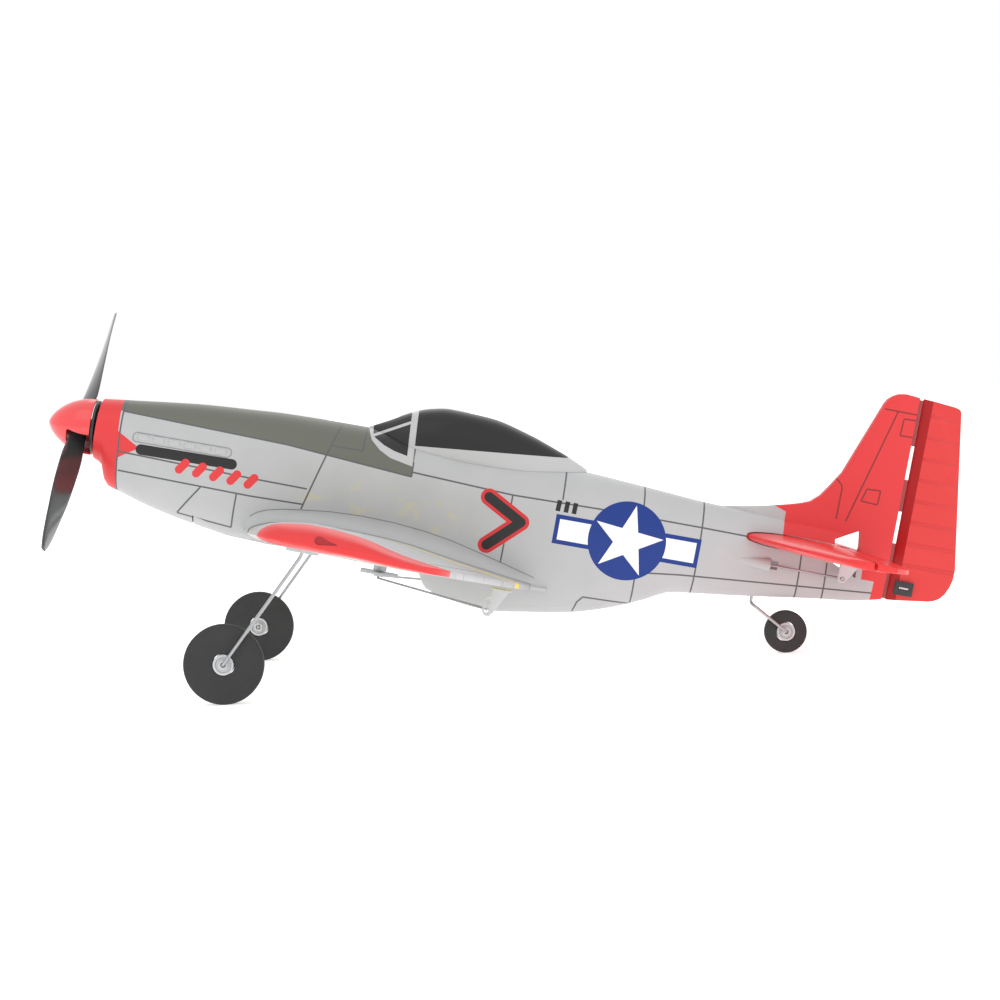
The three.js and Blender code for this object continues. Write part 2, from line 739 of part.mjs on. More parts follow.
function bladeShape() {
  const sections = BLADE.map(([radius, chord]) => {
    const angle = Math.atan(PROP_PITCH / (2 * Math.PI * Math.max(radius, 14)));
    const thickness = radius < 15 ? 1.1 : 0.75;
    const profile = [
      [0.5, 0], [0.2, 1], [-0.2, 0.9], [-0.5, 0.1], [-0.2, -0.6], [0.2, -0.5],
    ];
    return profile.map(([along, rise]) => {
      const c = along * chord;
      const t = rise * thickness;
      const x = -c * Math.sin(angle) - t * Math.cos(angle);
      return vec(x, c * Math.cos(angle) - t * Math.sin(angle), radius);
    });
  });
  return new LoftGeometry(sections, { capStart: true, capEnd: true });
}

function propeller() {
  const upper = solid(bladeShape().translate(PROP_X, 0, 0));
  const lower = solid(bladeShape().rotateX(Math.PI).translate(PROP_X, 0, 0));
  const boss = barX(PROP_X - 2.8, PROP_X + 2.8, 0, 0, 3.4, 20);
  const bore = barX(-20, 0, 0, 0, SHAFT_R + GAP, 16);
  return cut(join(boss, upper, lower), bore);
}

function spinner() {
  const base = -2.2;
  const profile = (grow) => {
    const points = [new THREE.Vector2(0, 0)];
    const steps = 8;
    for (let i = steps; i >= 0; i -= 1) {
      const t = i / steps;
      const radius = (SPINNER_RADIUS - grow) * Math.sin((Math.PI / 2) * t) ** 0.86;
      points.push(new THREE.Vector2(radius, (base - SPINNER_TIP - grow * 1.6) * (1 - t ** 1.35)));
    }
    return points;
  };
  const turned = (grow, start) => {
    const geometry = new THREE.LatheGeometry(profile(grow), 28);
    return solid(geometry.rotateZ(Math.PI / 2).translate(start, 0, 0));
  };
  const slot = box([PROP_X - 3.9, base + 1], [-5, 5], [-SPINNER_RADIUS - 1, SPINNER_RADIUS + 1]);
  return cut(turned(0, base), turned(1, base + 0.1), slot);
}

function spinnerBackplate() {
  const disc = join(barX(-1.9, -0.9, 0, 0, 10, 32), barX(-3.8, -1.8, 0, 0, 3, 20));
  return cut(disc, barX(-5, 1, 0, 0, SHAFT_R + GAP, 16));
}

const propScrew = () => join(barX(-11.7, -10.1, 0, 0, 2.2, 12), barX(-10.4, -5, 0, 0, 0.8, 10));

const propShaft = () =>
  cut(barX(-9.3, 20.6, 0, 0, SHAFT_R, 16), barX(-10, -4.6, 0, 0, 1.15, 12));

// Spur gear about the x axis, with slim straight-sided teeth that run clear of each other.
function gear(teeth, x0, x1, bore, phase) {
  const pitchRadius = (GEAR_MODULE * teeth) / 2;
  const tipRadius = pitchRadius + 0.85 * GEAR_MODULE;
  const rootRadius = pitchRadius - 1.2 * GEAR_MODULE;
  const shape = new THREE.Shape();
  const place = (radius, angle, first) => {
    const point = [radius * Math.cos(angle), radius * Math.sin(angle)];
    if (first) shape.moveTo(...point);
    else shape.lineTo(...point);
  };
  const step = (2 * Math.PI) / teeth;
  for (let i = 0; i < teeth; i += 1) {
    const middle = i * step + phase;
    place(rootRadius, middle - 0.27 * step, i === 0);
    place(tipRadius, middle - 0.1 * step, false);
    place(tipRadius, middle + 0.1 * step, false);
    place(rootRadius, middle + 0.27 * step, false);
  }
  const geometry = new THREE.ExtrudeGeometry(shape, { depth: x1 - x0, bevelEnabled: false });
  const blank = solid(geometry.rotateY(Math.PI / 2).translate(x0, 0, 0));
  return cut(blank, barX(x0 - 1, x1 + 1, 0, 0, bore, 16));
}

const spurGear = () => gear(SPUR_TEETH, 10.4, 13.4, SHAFT_R + GAP, 0);

// The pinion's first gap faces the spur gear's first tooth.
const pinion = () => gear(PINION_TEETH, 9.9, 13.9, 0.75 + GAP, Math.PI + Math.PI / PINION_TEETH);

function gearboxFrame() {
  const plate = (x0, x1) =>
    join(
      barX(x0, x1, 0, 0, 9, 28),
      barX(x0, x1, 0, -GEAR_CENTRES, 4.8, 20),
      box([x0, x1], [-4.8, 4.8], [-GEAR_CENTRES, 0])
    );
  const web = (side) =>
    box([7, 19], side > 0 ? [7.4, 8.6] : [-8.6, -7.4], [-2.4, 2.4]);
  return cut(
    join(plate(6.6, 8.6), plate(17.4, 19.4), web(1), web(-1)),
    barX(0, 25, 0, 0, 2.4 + GAP, 20),
    barX(0, 25, 0, -GEAR_CENTRES, 1.2, 16)
  );
}

const bush = (x0) =>
  cut(barX(x0, x0 + 3, 0, 0, 2.4, 20), barX(x0 - 1, x0 + 4, 0, 0, SHAFT_R + GAP, 16));

function motorCan() {
  const x0 = 19.7;
  const can = barX(x0, x0 + 20, 0, -GEAR_CENTRES, 4.25, 24);
  const cap = barX(x0 + 19.5, x0 + 21, 0, -GEAR_CENTRES, 3, 16);
  return cut(join(can, cap), barX(x0 - 1, x0 + 6, 0, -GEAR_CENTRES, 0.75 + GAP, 12));
}

const motorShaft = () => barX(9.4, 25, 0, 0, 0.75, 10);

// ---------------------------------------------------------------------------
// Battery, receiver and belly door.
// ---------------------------------------------------------------------------

function battery() {
  const outline = new THREE.Shape([
    [-7, -5.5], [7, -5.5], [8, -4.5], [8, 4.5], [7, 5.5], [-7, 5.5], [-8, 4.5], [-8, -4.5],
  ].map(([y, z]) => new THREE.Vector2(y, z)));
  const pack = new THREE.ExtrudeGeometry(outline, { depth: 44, bevelEnabled: false });
  pack.rotateX(Math.PI / 2).rotateZ(Math.PI / 2).translate(46, 0, -19.6);
  return join(solid(pack), box([89.5, 92.6], [-4, 4], [-22, -16.6]));
}

function receiverBoard() {
  return join(
    box([120, 146], [-8, 8], [-11.2, -10]),
    box([123, 131], [-4, 4], [-10.2, -8.4]),
    box([139, 145], [-7, 7], [-10.2, -5.4])
  );
}

function batteryHatch() {
  const span = [BAY.front + 0.4, BAY.rear - 0.4];
  const reach = BAY.halfWidth - 0.3;
  const door = fuselageLoft().intersect(box(span, [-reach, reach], [-40, -15]));
  const shell = cut(door, fuselageLoft(-1.6));
  const arm = box([HATCH_PIN.x, span[0] + 3], [-2.2, 2.2], [HATCH_PIN.z - 1.4, HATCH_PIN.z + 0.2]);
  const barrel = barY(-2.2, 2.2, HATCH_PIN.x, HATCH_PIN.z, 1.4, 16);
  const tab = box([BAY.rear - 4, 99.6], [-3, 3], [-30.8, -29.9]);
  const pinHole = barY(-9, 9, HATCH_PIN.x, HATCH_PIN.z, 0.5 + GAP, 12);
  return cut(join(shell, arm, barrel, tab), pinHole);
}

const hatchPin = () => barY(-4.7, 4.7, HATCH_PIN.x, HATCH_PIN.z, 0.5, 10);

// ---------------------------------------------------------------------------
// Assembly.
// ---------------------------------------------------------------------------

// Nose-up angle at which both main wheels and the tail wheel touch level ground.
function groundPitch() {
  const run = TAIL_AXLE.x - MAIN_AXLE.x;
  const rise = TAIL_AXLE.z - MAIN_AXLE.z;
  const radii = MAIN_WHEEL.radius - TAIL_WHEEL.radius;
  return Math.atan2(rise, run) + Math.asin(radii / Math.hypot(run, rise));
}

function airframe() {
  const fuselage = wholeFuselage();
  const port = box([-5, 330], [-60, -GAP / 2], [-80, 80]);
  const starboard = box([-5, 330], [GAP / 2, 60], [-80, 80]);
  return [
    piece("fuselage_left_half", fuselage.intersect(port), FINISH.silverFoam),
    piece("fuselage_right_half", fuselage.intersect(starboard), FINISH.silverFoam),
    piece("canopy", canopy(), FINISH.canopyBlack),
    piece("wing_left_panel", wingPanel(-1), FINISH.silverFoam),
    piece("wing_right_panel", wingPanel(1), FINISH.silverFoam),
    piece("wing_spar", wingSpar(), FINISH.carbon),
    piece("left_aileron", aileron(-1), FINISH.silverFoam),
    piece("right_aileron", aileron(1), FINISH.silverFoam),
    piece("left_aileron_hinge", aileronHinge(-1), FINISH.silverFoam),
    piece("right_aileron_hinge", aileronHinge(1), FINISH.silverFoam),
    piece("left_aileron_horn", aileronHorn(-1), FINISH.greyPlastic),
    piece("right_aileron_horn", aileronHorn(1), FINISH.greyPlastic),
  ];
}

function tail() {
  return [
    piece("horizontal_stabilizer", stabiliserShape(), FINISH.redFoam),
    piece("elevator", elevator(), FINISH.redFoam),
    piece("left_elevator_hinge", elevatorHinge(-1), FINISH.hingeFilm),
    piece("right_elevator_hinge", elevatorHinge(1), FINISH.hingeFilm),
    piece("elevator_horn", elevatorHorn(), FINISH.greyPlastic),
    piece("rudder", rudder(), FINISH.redFoam),
    piece("rudder_hinge", rudderHinge(), FINISH.hingeFilm),
    piece("rudder_horn", rudderHorn(), FINISH.greyPlastic),
    piece("rudder_horn_backplate", rudderHornBackplate(), FINISH.blackPlastic),
  ];
}

function undercarriage(pitch) {
  const placed = (name, shape, finish, { x, y, z }, side = 1) => {
    const mesh = piece(name, shape, finish);
    mesh.position.set(x, side * y, z);
    return mesh;
  };
  const sides = [["left", -1], ["right", 1]].flatMap(([word, side]) => [
    piece(`${word}_gear_leg`, gearLeg(side), FINISH.steel),
    piece(`${word}_gear_mount`, gearMount(side), FINISH.greyPlastic),
    placed(`${word}_main_tyre`, tyre(MAIN_WHEEL, pitch), FINISH.tyreFoam, MAIN_AXLE, side),
    placed(`${word}_main_hub`, hub(MAIN_WHEEL), FINISH.greyPlastic, MAIN_AXLE, side),
    piece(`${word}_wheel_collar`, wheelCollar(side), FINISH.greyPlastic),
  ]);
  return [
    ...sides,
    piece("tail_gear_wire", tailGearWire(), FINISH.steel),
    placed("tail_tyre", tyre(TAIL_WHEEL, pitch), FINISH.tyreFoam, TAIL_AXLE),
    placed("tail_hub", hub(TAIL_WHEEL), FINISH.greyPlastic, TAIL_AXLE),
  ];
}

function driveTrain() {
  const turning = new THREE.Group();
  turning.rotation.x = radians(PROP_REST_ANGLE);
  turning.add(
    piece("spinner", spinner(), FINISH.spinnerRed),
    piece("spinner_backplate", spinnerBackplate(), FINISH.blackPlastic),
    piece("propeller", propeller(), FINISH.bladeGrey),
    piece("prop_screw", propScrew(), FINISH.steel)
  );
  const rotor = new THREE.Group();
  rotor.position.z = -GEAR_CENTRES;
  rotor.add(
    piece("motor_pinion", pinion(), FINISH.brass),
    piece("motor_shaft", motorShaft(), FINISH.steel)
  );
  const line = new THREE.Group();
  line.rotation.y = radians(-DOWNTHRUST);
  line.add(
    turning,
    rotor,
    piece("prop_shaft", propShaft(), FINISH.steel),
    piece("spur_gear", spurGear(), FINISH.greyPlastic),
    piece("front_bush", bush(6.1), FINISH.brass),
    piece("rear_bush", bush(16.9), FINISH.brass),
    piece("motor_can", motorCan(), FINISH.steel),
    piece("gearbox_frame", gearboxFrame(), FINISH.blackPlastic)
  );
  return line;
}

function controls() {
  const elevatorTip = [ELEVATOR_HORN_HOLE.x - ELEVATOR_HINGE_X, ELEVATOR_HORN_HOLE.z - TAIL_Z];
  const rudderTip = [RUDDER_HORN_HOLE.x - RUDDER_HINGE_X, RUDDER_HORN_HOLE.y];
  const cross = servoArm([[AILERON_ARM, 0], [-AILERON_ARM, 0], [0, 5.3], [0, -5.3]], 1.4);
  const elevatorArm = servoArm([elevatorTip], 1);
  const rudderArm = servoArm([rudderTip], 1);
  const servo = servoShape();
  return [
    mounted("aileron_servo", servo, FINISH.greyPlastic, AILERON_SERVO, DOWN),
    mounted("aileron_servo_arm", cross, FINISH.greyPlastic, AILERON_SERVO, DOWN),
    piece("left_aileron_rod", aileronRod(-1), FINISH.steel),
    piece("right_aileron_rod", aileronRod(1), FINISH.steel),
    mounted("elevator_servo", servo, FINISH.blueServo, ELEVATOR_SERVO, TO_PORT),
    mounted("elevator_servo_arm", elevatorArm, FINISH.greyPlastic, ELEVATOR_SERVO, TO_PORT),
    piece("elevator_pushrod", elevatorRod(), FINISH.steel),
    mounted("rudder_servo", servo, FINISH.blueServo, RUDDER_SERVO, UP),
    mounted("rudder_servo_arm", rudderArm, FINISH.greyPlastic, RUDDER_SERVO, UP),
    piece("rudder_pushrod", rudderRod(), FINISH.steel),
  ];
}

function power() {
  return [
    piece("battery", battery(), FINISH.cellWrap),
    piece("receiver_board", receiverBoard(), FINISH.board),
    piece("battery_hatch", batteryHatch(), FINISH.silverFoam),
    piece("hatch_hinge_pin", hatchPin(), FINISH.steel),
  ];
}

// Pitches the level model on to its wheels and centres it over the origin, on the ground.
function assemble() {
  const pitch = groundPitch();
  const level = new THREE.Group();
  level.rotation.y = pitch;
  level.add(
    ...airframe(),
    ...tail(),
    ...undercarriage(pitch),
    driveTrain(),
    ...controls(),
    ...power()
  );
  const airplane = new THREE.Group();
  airplane.add(level);
  airplane.updateMatrixWorld(true);
  const bounds = new THREE.Box3().setFromObject(airplane, true);
  const centre = bounds.getCenter(new THREE.Vector3());
  level.position.set(-centre.x, -centre.y, -bounds.min.z);
  return airplane;
}

export default assemble();
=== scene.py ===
"""Foam radio-control fighter: the visual model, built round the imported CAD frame.

Sizes are in millimetres in the maker's level frame: x runs aft from the cowl's front face,
y to starboard and z up from the thrust line. Level.seat() pitches a piece on to its wheels.
"""

import json
import logging
import math
from dataclasses import dataclass
from enum import Enum

import bpy
from mathutils import Euler, Matrix, Vector

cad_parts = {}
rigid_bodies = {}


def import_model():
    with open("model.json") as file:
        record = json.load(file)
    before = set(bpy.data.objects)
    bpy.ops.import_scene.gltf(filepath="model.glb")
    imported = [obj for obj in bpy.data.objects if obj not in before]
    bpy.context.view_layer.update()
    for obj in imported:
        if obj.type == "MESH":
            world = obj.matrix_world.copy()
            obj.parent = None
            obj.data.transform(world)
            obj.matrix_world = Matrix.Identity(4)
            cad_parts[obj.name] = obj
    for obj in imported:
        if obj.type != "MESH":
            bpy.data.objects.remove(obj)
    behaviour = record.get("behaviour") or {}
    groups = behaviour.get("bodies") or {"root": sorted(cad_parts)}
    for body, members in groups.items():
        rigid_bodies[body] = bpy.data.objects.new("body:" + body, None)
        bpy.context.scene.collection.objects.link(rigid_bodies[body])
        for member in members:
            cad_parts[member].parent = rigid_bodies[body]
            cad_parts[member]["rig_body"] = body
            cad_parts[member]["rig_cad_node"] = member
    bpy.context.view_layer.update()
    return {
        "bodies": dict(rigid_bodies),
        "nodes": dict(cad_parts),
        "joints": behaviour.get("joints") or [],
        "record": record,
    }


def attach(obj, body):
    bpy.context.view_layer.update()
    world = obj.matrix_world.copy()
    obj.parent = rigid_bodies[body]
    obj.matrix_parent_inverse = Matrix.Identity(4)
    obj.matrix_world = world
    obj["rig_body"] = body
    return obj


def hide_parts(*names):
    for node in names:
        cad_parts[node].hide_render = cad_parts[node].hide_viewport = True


LOG = logging.getLogger("airplane")
MM = 0.001
GAP = 0.3
POWER = 2 / 2.2

Point = tuple[float, float, float]
Flat = tuple[float, float]
Ring = list[Vector]

# Fuselage stations: x, crown z, keel z, half width, and the z of the widest point.
FUSELAGE: list[tuple[float, ...]] = [
    (0, 11.0, -11.4, 11.2, -0.2), (3.1, 11.4, -12.9, 11.8, -0.8), (5.9, 11.8, -19.9, 12.2, -3),
    (10.2, 12.3, -21.4, 12.8, -4), (24, 14.1, -25.4, 14, -5), (38, 15.7, -28.3, 15.2, -6),
    (53, 16.8, -30.7, 16.3, -7), (68, 17.8, -31.2, 17, -7), (98, 18.3, -30.4, 17.5, -7),
    (123, 17.4, -29.6, 17.5, -7), (128.4, 17.2, -36.5, 17.3, -8), (136, 17, -38.9, 17.2, -9),
    (151.8, 17, -40.6, 16.8, -9), (167, 17, -38.6, 15.8, -8), (183, 16.4, -35.8, 14.3, -7),
    (197, 15.5, -31.5, 12.6, -6), (209, 14.7, -26.3, 11.0, -5), (218, 14.0, -21.8, 9.9, -3.5),
    (226, 13.5, -20.7, 9.0, -3), (241, 13.2, -18.8, 7.6, -2.5), (256, 13.0, -16.7, 6.2, -1.7),
    (271, 12.8, -14.5, 4.9, -0.8), (286, 12.6, -12.6, 3.6, 0), (296.2, 12.4, -10.3, 2.5, 1),
]
# Canopy stations: x, crown z and half width.
CANOPY: list[tuple[float, ...]] = [
    (97.5, 18.6, 1.5), (104.5, 22.3, 6.4), (111.3, 26.2, 9.4), (118.3, 29.0, 10.8),
    (126, 30.3, 11.3), (140.7, 29.8, 11.2), (156.4, 26.3, 9.8), (164.5, 23.6, 8.3),
    (172.6, 20.6, 6.2), (179.5, 17.4, 3),
]
# Wing section: fraction of the chord, upper and lower surface as fractions of it.
WING_SECTION: list[tuple[float, ...]] = [
    (0, 0, 0), (0.03, 0.03, -0.013), (0.1, 0.054, -0.02), (0.28, 0.074, -0.022),
    (0.5, 0.068, -0.02), (0.75, 0.036, -0.012), (1, 0, 0),
]
# The same at the tip, where the wing is fuller towards the front.
TIP_SECTION: list[tuple[float, ...]] = [
    (0, 0, 0), (0.03, 0.05, -0.016), (0.1, 0.085, -0.024), (0.28, 0.107, -0.021),
    (0.5, 0.092, -0.009), (0.75, 0.036, -0.012), (1, 0, 0),
]
# Propeller blade: radius and chord.
BLADE: list[tuple[float, ...]] = [
    (2, 6), (10, 7.5), (20, 10), (34, 11.5), (48, 9.5), (57, 6.5), (61, 3),
]


class Side(Enum):
    """Which side of the airplane a paired piece is on."""

    LEFT = -1
    RIGHT = 1

    @property
    def word(self) -> str:
        """The side's name in the frame's node and body names."""
        return self.name.lower()


def glide(rows: list[tuple[float, ...]], at: float) -> tuple[float, ...]:
    """Reads a table of stations with a smooth curve that never overshoots them.

    Args:
        rows: Stations in order; the first column is the position.
        at: The position to read.

    Returns:
        Every column at that position.
    """
    if at <= rows[0][0]:
        return rows[0]
    if at >= rows[-1][0]:
        return rows[-1]
    i = max(k for k, row in enumerate(rows[:-1]) if row[0] <= at)
    span = rows[i + 1][0] - rows[i][0]
    t = (at - rows[i][0]) / span

    def slope(k: int, column: int) -> float:
        """Slope at a station, flat at an end or a turning point.

        Args:
            k: The station's number.
            column: The table's column.

        Returns:
            The slope there.
        """
        if k in (0, len(rows) - 1):
            return (rows[i + 1][column] - rows[i][column]) / span
        low, mid, high = rows[k - 1], rows[k], rows[k + 1]
        before = (mid[column] - low[column]) / (mid[0] - low[0])
        after = (high[column] - mid[column]) / (high[0] - mid[0])
        if before * after <= 0:
            return 0.0
        return 2 * before * after / (before + after)

    out = [at]
    for column in range(1, len(rows[0])):
        a, b = rows[i][column], rows[i + 1][column]
        ma, mb = slope(i, column) * span, slope(i + 1, column) * span
        out.append(
            a * (1 + 2 * t) * (1 - t) ** 2 + ma * t * (1 - t) ** 2
            + b * t * t * (3 - 2 * t) - mb * t * t * (1 - t)
        )
    return tuple(out)


def round_ring(station: tuple[float, ...], grow: float = 0.0, points: int = 56) -> Ring:
    """One rounded section with its own height above and below the widest point.

    Args:
        station: x, crown z, keel z, half width and waist z.
        grow: How far the ring stands outside the table.
        points: How many points the ring has.

    Returns:
        The ring's points.
    """
    x, crown, keel, half, waist = station
    ring = []
    for k in range(points):
        angle = 2 * math.pi * k / points
        sine, cosine = math.sin(angle), math.cos(angle)
        reach = crown + grow - waist if sine > 0 else waist - keel + grow
        y = (half + grow) * math.copysign(abs(cosine) ** POWER, cosine)
        ring.append(Vector((x, y, waist + reach * math.copysign(abs(sine) ** POWER, sine))))
    return ring


def skin_y(x: float, z: float) -> float:
    """Half width of the fuselage's skin at a place on its side view.

    Args:
        x: Place along the fuselage.
        z: Height in the side view.

    Returns:
        The half width there.
    """
    _, crown, keel, half, waist = glide(FUSELAGE, x)
    t = (z - waist) / (crown - waist) if z > waist else (waist - z) / (waist - keel)
    sine = min(max(t, 0.0), 1.0) ** (1 / POWER)
    return half * math.sqrt(1 - sine * sine) ** POWER


def steps(low: float, high: float, pitch: float) -> list[float]:
    """Evenly spaced values from low to high, about pitch apart.

    Args:
        low: The first value.
        high: The last value.
        pitch: The spacing wanted.

    Returns:
        The values, both ends among them.
    """
    count = max(1, round((high - low) / pitch))
    return [low + (high - low) * k / count for k in range(count + 1)]


# ---------------------------------------------------------------------------
# The bench: modelling operators.
# ---------------------------------------------------------------------------


class Bench:
    """Blender's own modelling operators, with selection made safe."""

    @staticmethod
    def clear() -> None:
        """Leaves nothing selected."""
        if bpy.context.object and bpy.context.object.mode != "OBJECT":
            bpy.ops.object.mode_set(mode="OBJECT")
        bpy.ops.object.select_all(action="DESELECT")

    @classmethod
    def take(cls, *objects: bpy.types.Object) -> bpy.types.Object:
        """Selects these objects alone, the first one active.

        Args:
            objects: What to select.

        Returns:
            The active object.
        """
        cls.clear()
        for item in objects:
            item.select_set(True)
        bpy.context.view_layer.objects.active = objects[0]
        return objects[0]

    @classmethod
    def join(cls, *objects: bpy.types.Object) -> bpy.types.Object:
        """Joins objects into the first one without cutting them together.

        Args:
            objects: What to join.

        Returns:
            The joined object.
        """
        cls.take(*objects)
        bpy.ops.object.join()
        return bpy.context.object

    @classmethod
    def ring(cls, points: Ring) -> bpy.types.Object:
        """A circle primitive whose points are moved on to a section's outline.

        Args:
            points: The outline's points.

        Returns:
            The outline, without a face.
        """
        cls.clear()
        bpy.ops.mesh.primitive_circle_add(vertices=len(points), radius=1, fill_type="NOTHING")
        circle = bpy.context.object
        for vertex, point in zip(circle.data.vertices, points):
            vertex.co = point
        return circle

    @classmethod
    def loft(cls, rings: list[Ring]) -> bpy.types.Object:
        """Bridges a row of rings and closes both ends.

        Args:
            rings: Sections in order, each with the same number of points.

        Returns:
            A closed body with its faces outwards.
        """
        body = cls.join(*[cls.ring(ring) for ring in rings])
        bpy.ops.object.mode_set(mode="EDIT")
        bpy.ops.mesh.select_all(action="SELECT")
        bpy.ops.mesh.bridge_edge_loops(type="SINGLE")
        bpy.ops.mesh.select_all(action="DESELECT")
        bpy.ops.mesh.select_non_manifold()
        bpy.ops.mesh.edge_face_add()
        cls.outwards()
        return body

    @staticmethod
    def outwards() -> None:
        """Turns every face outwards and leaves edit mode."""
        bpy.ops.mesh.select_all(action="SELECT")
        bpy.ops.mesh.normals_make_consistent(inside=False)
        bpy.ops.object.mode_set(mode="OBJECT")

    @classmethod
    def plate(cls, outline: list[Point], push: Point) -> bpy.types.Object:
        """A flat plate: an outline filled and extruded.

        Args:
            outline: The corners, all in one plane.
            push: The thickness as a vector.

        Returns:
            The closed plate.
        """
        body = cls.ring([Vector(p) for p in outline])
        bpy.ops.object.mode_set(mode="EDIT")
        bpy.ops.mesh.select_all(action="SELECT")
        bpy.ops.mesh.edge_face_add()
        bpy.ops.mesh.extrude_region_move(TRANSFORM_OT_translate={"value": push})
        cls.outwards()
        return body

    @classmethod
    def crate(cls, x: Flat, y: Flat, z: Flat) -> bpy.types.Object:
        """A box between three pairs of limits, for hollowing and trimming.

        Args:
            x: Limits along x.
            y: Limits along y.
            z: Limits along z.

        Returns:
            The box.
        """
        cls.clear()
        middle = tuple((a + b) / 2 for a, b in (x, y, z))
        size = tuple(b - a for a, b in (x, y, z))
        bpy.ops.mesh.primitive_cube_add(size=1, location=middle, scale=size)
        bpy.ops.object.transform_apply(location=True, rotation=True, scale=True)
        return bpy.context.object

    @classmethod
    def bar(cls, start: Point, end: Point, radius: float, tip: float | None = None,
            sides: int = 32) -> bpy.types.Object:
        """A round bar or cone between two points.

        Args:
            start: Centre of the first end.
            end: Centre of the other end.
            radius: Radius at the first end.
            tip: Radius at the other end, where it differs.
            sides: How many sides it has.

        Returns:
            The bar.
        """
        cls.clear()
        a, b = Vector(start), Vector(end)
        turn = (b - a).to_track_quat("Z", "Y").to_euler()
        bpy.ops.mesh.primitive_cone_add(
            vertices=sides, radius1=radius, radius2=radius if tip is None else tip,
            depth=(b - a).length, location=(a + b) / 2, rotation=turn,
        )
        bpy.ops.object.transform_apply(location=True, rotation=True, scale=True)
        return bpy.context.object

    @classmethod
    def carve(cls, body: bpy.types.Object, *tools: bpy.types.Object,
              how: str = "DIFFERENCE") -> bpy.types.Object:
        """Cuts, joins or trims a body with others, which are used up.

        Args:
            body: The body to work on.
            tools: The bodies to cut or join with.
            how: The Boolean operation.

        Returns:
            The worked body.
        """
        for tool in tools:
            cls.take(body)
            step = body.modifiers.new("carve", "BOOLEAN")
            step.object, step.operation, step.solver = tool, how, "MANIFOLD"
            bpy.ops.object.modifier_apply(modifier=step.name)
            bpy.data.objects.remove(tool)
        return body

    @classmethod
    def lathe(cls, profile: list[Flat], centre: Point, sides: int = 64) -> bpy.types.Object:
        """Spins a profile about a line along y.

        Args:
            profile: Radius and y of each point; the ends may touch the axis or each other.
            centre: Where the axis passes.
            sides: How many steps the spin has.

        Returns:
            The closed turned body.
        """
        body = cls.ring([Vector((r, y, 0)) for r, y in profile])
        bpy.ops.object.mode_set(mode="EDIT")
        bpy.ops.mesh.select_all(action="SELECT")
        bpy.ops.mesh.spin(steps=sides, angle=2 * math.pi, center=(0, 0, 0), axis=(0, 1, 0))
        bpy.ops.mesh.select_all(action="SELECT")
        bpy.ops.mesh.remove_doubles(threshold=1e-4)
        bpy.ops.mesh.dissolve_degenerate(threshold=1e-4)
        cls.outwards()
        cls.take(body)
        bpy.ops.transform.translate(value=centre)
        bpy.ops.object.transform_apply(location=True, rotation=True, scale=True)
        return body

    @classmethod
    def wire(cls, points: list[Point], radius: float) -> bpy.types.Object:
        """Round wire bent at each listed point, with the small bend radius of a vice.

        Args:
            points: The bends, from end to end.
            radius: Half the wire's thickness.

        Returns:
            The closed wire.
        """
        path = [Vector(p) for p in points]
        route = [path[0]]
        for before, here, after in zip(path, path[1:], path[2:]):
            back = min(2.2 * radius, (here - before).length / 3, (after - here).length / 3)
            start = here + (before - here).normalized() * back
            end = here + (after - here).normalized() * back
            route += [start.lerp(here, t).lerp(here.lerp(end, t), t) for t in steps(0, 1, 0.2)]
        route.append(path[-1])
        rings, turn = [], None
        for k, point in enumerate(route):
            run = (route[min(k + 1, len(route) - 1)] - route[max(k - 1, 0)]).normalized()
            if turn is None:
                turn = run.to_track_quat("Z", "Y")
            else:
                turn = (turn @ Vector((0, 0, 1))).rotation_difference(run) @ turn
            rings.append([
                point + turn @ Vector((math.cos(a), math.sin(a), 0)) * radius
                for a in steps(0, 2 * math.pi * 15 / 16, 2 * math.pi / 16)
            ])
        return cls.loft(rings)

    @classmethod
    def half(cls, body: bpy.types.Object, y: float, keep_low: bool) -> bpy.types.Object:
        """Bisects a body across y and closes the cut.

        Args:
            body: The body to cut.
            y: Where the cut is.
            keep_low: Whether the side with the lower y stays.

        Returns:
            The half that is kept.
        """
        cls.take(body)
        bpy.ops.object.mode_set(mode="EDIT")
        bpy.ops.mesh.select_all(action="SELECT")
        bpy.ops.mesh.bisect(
            plane_co=(0, y, 0), plane_no=(0, 1, 0), use_fill=True,
            clear_outer=keep_low, clear_inner=not keep_low,
        )
        cls.outwards()
        return body

    @classmethod
    def copy(cls, source: bpy.types.Object) -> bpy.types.Object:
        """A copy with a mesh of its own and no parent.

        Args:
            source: The object to copy.

        Returns:
            The copy.
        """
        cls.take(source)
        bpy.ops.object.duplicate()
        twin = bpy.context.object
        twin.data = twin.data.copy()
        return twin

    @classmethod
    def soften(cls, body: bpy.types.Object, width: float, segments: int = 2,
               angle: float = 40.0) -> bpy.types.Object:
        """Rounds the sharp edges with a bevel that is applied.

        Args:
            body: The body to soften.
            width: The bevel's width, in the mesh's units.
            segments: How many facets round each edge.
            angle: The bluntest edge that is rounded, in degrees.

        Returns:
            The softened body.
        """
        cls.take(body)
        step = body.modifiers.new("soften", "BEVEL")
        step.width, step.segments = width, segments
        step.limit_method, step.angle_limit = "ANGLE", math.radians(angle)
        step.use_clamp_overlap = True
        bpy.ops.object.modifier_apply(modifier=step.name)
        return body

    @classmethod
    def smooth(cls, body: bpy.types.Object, angle: float = 38.0) -> bpy.types.Object:
        """Shades a body smooth across edges blunter than the angle.

        Args:
            body: The body to shade.
            angle: The sharpest edge that is shaded smooth, in degrees.

        Returns:
            The shaded body.
        """
        cls.take(body)
        bpy.ops.object.shade_smooth_by_angle(angle=math.radians(angle))
        return body


# ---------------------------------------------------------------------------
# The level frame and the stand on three wheels.
# ---------------------------------------------------------------------------


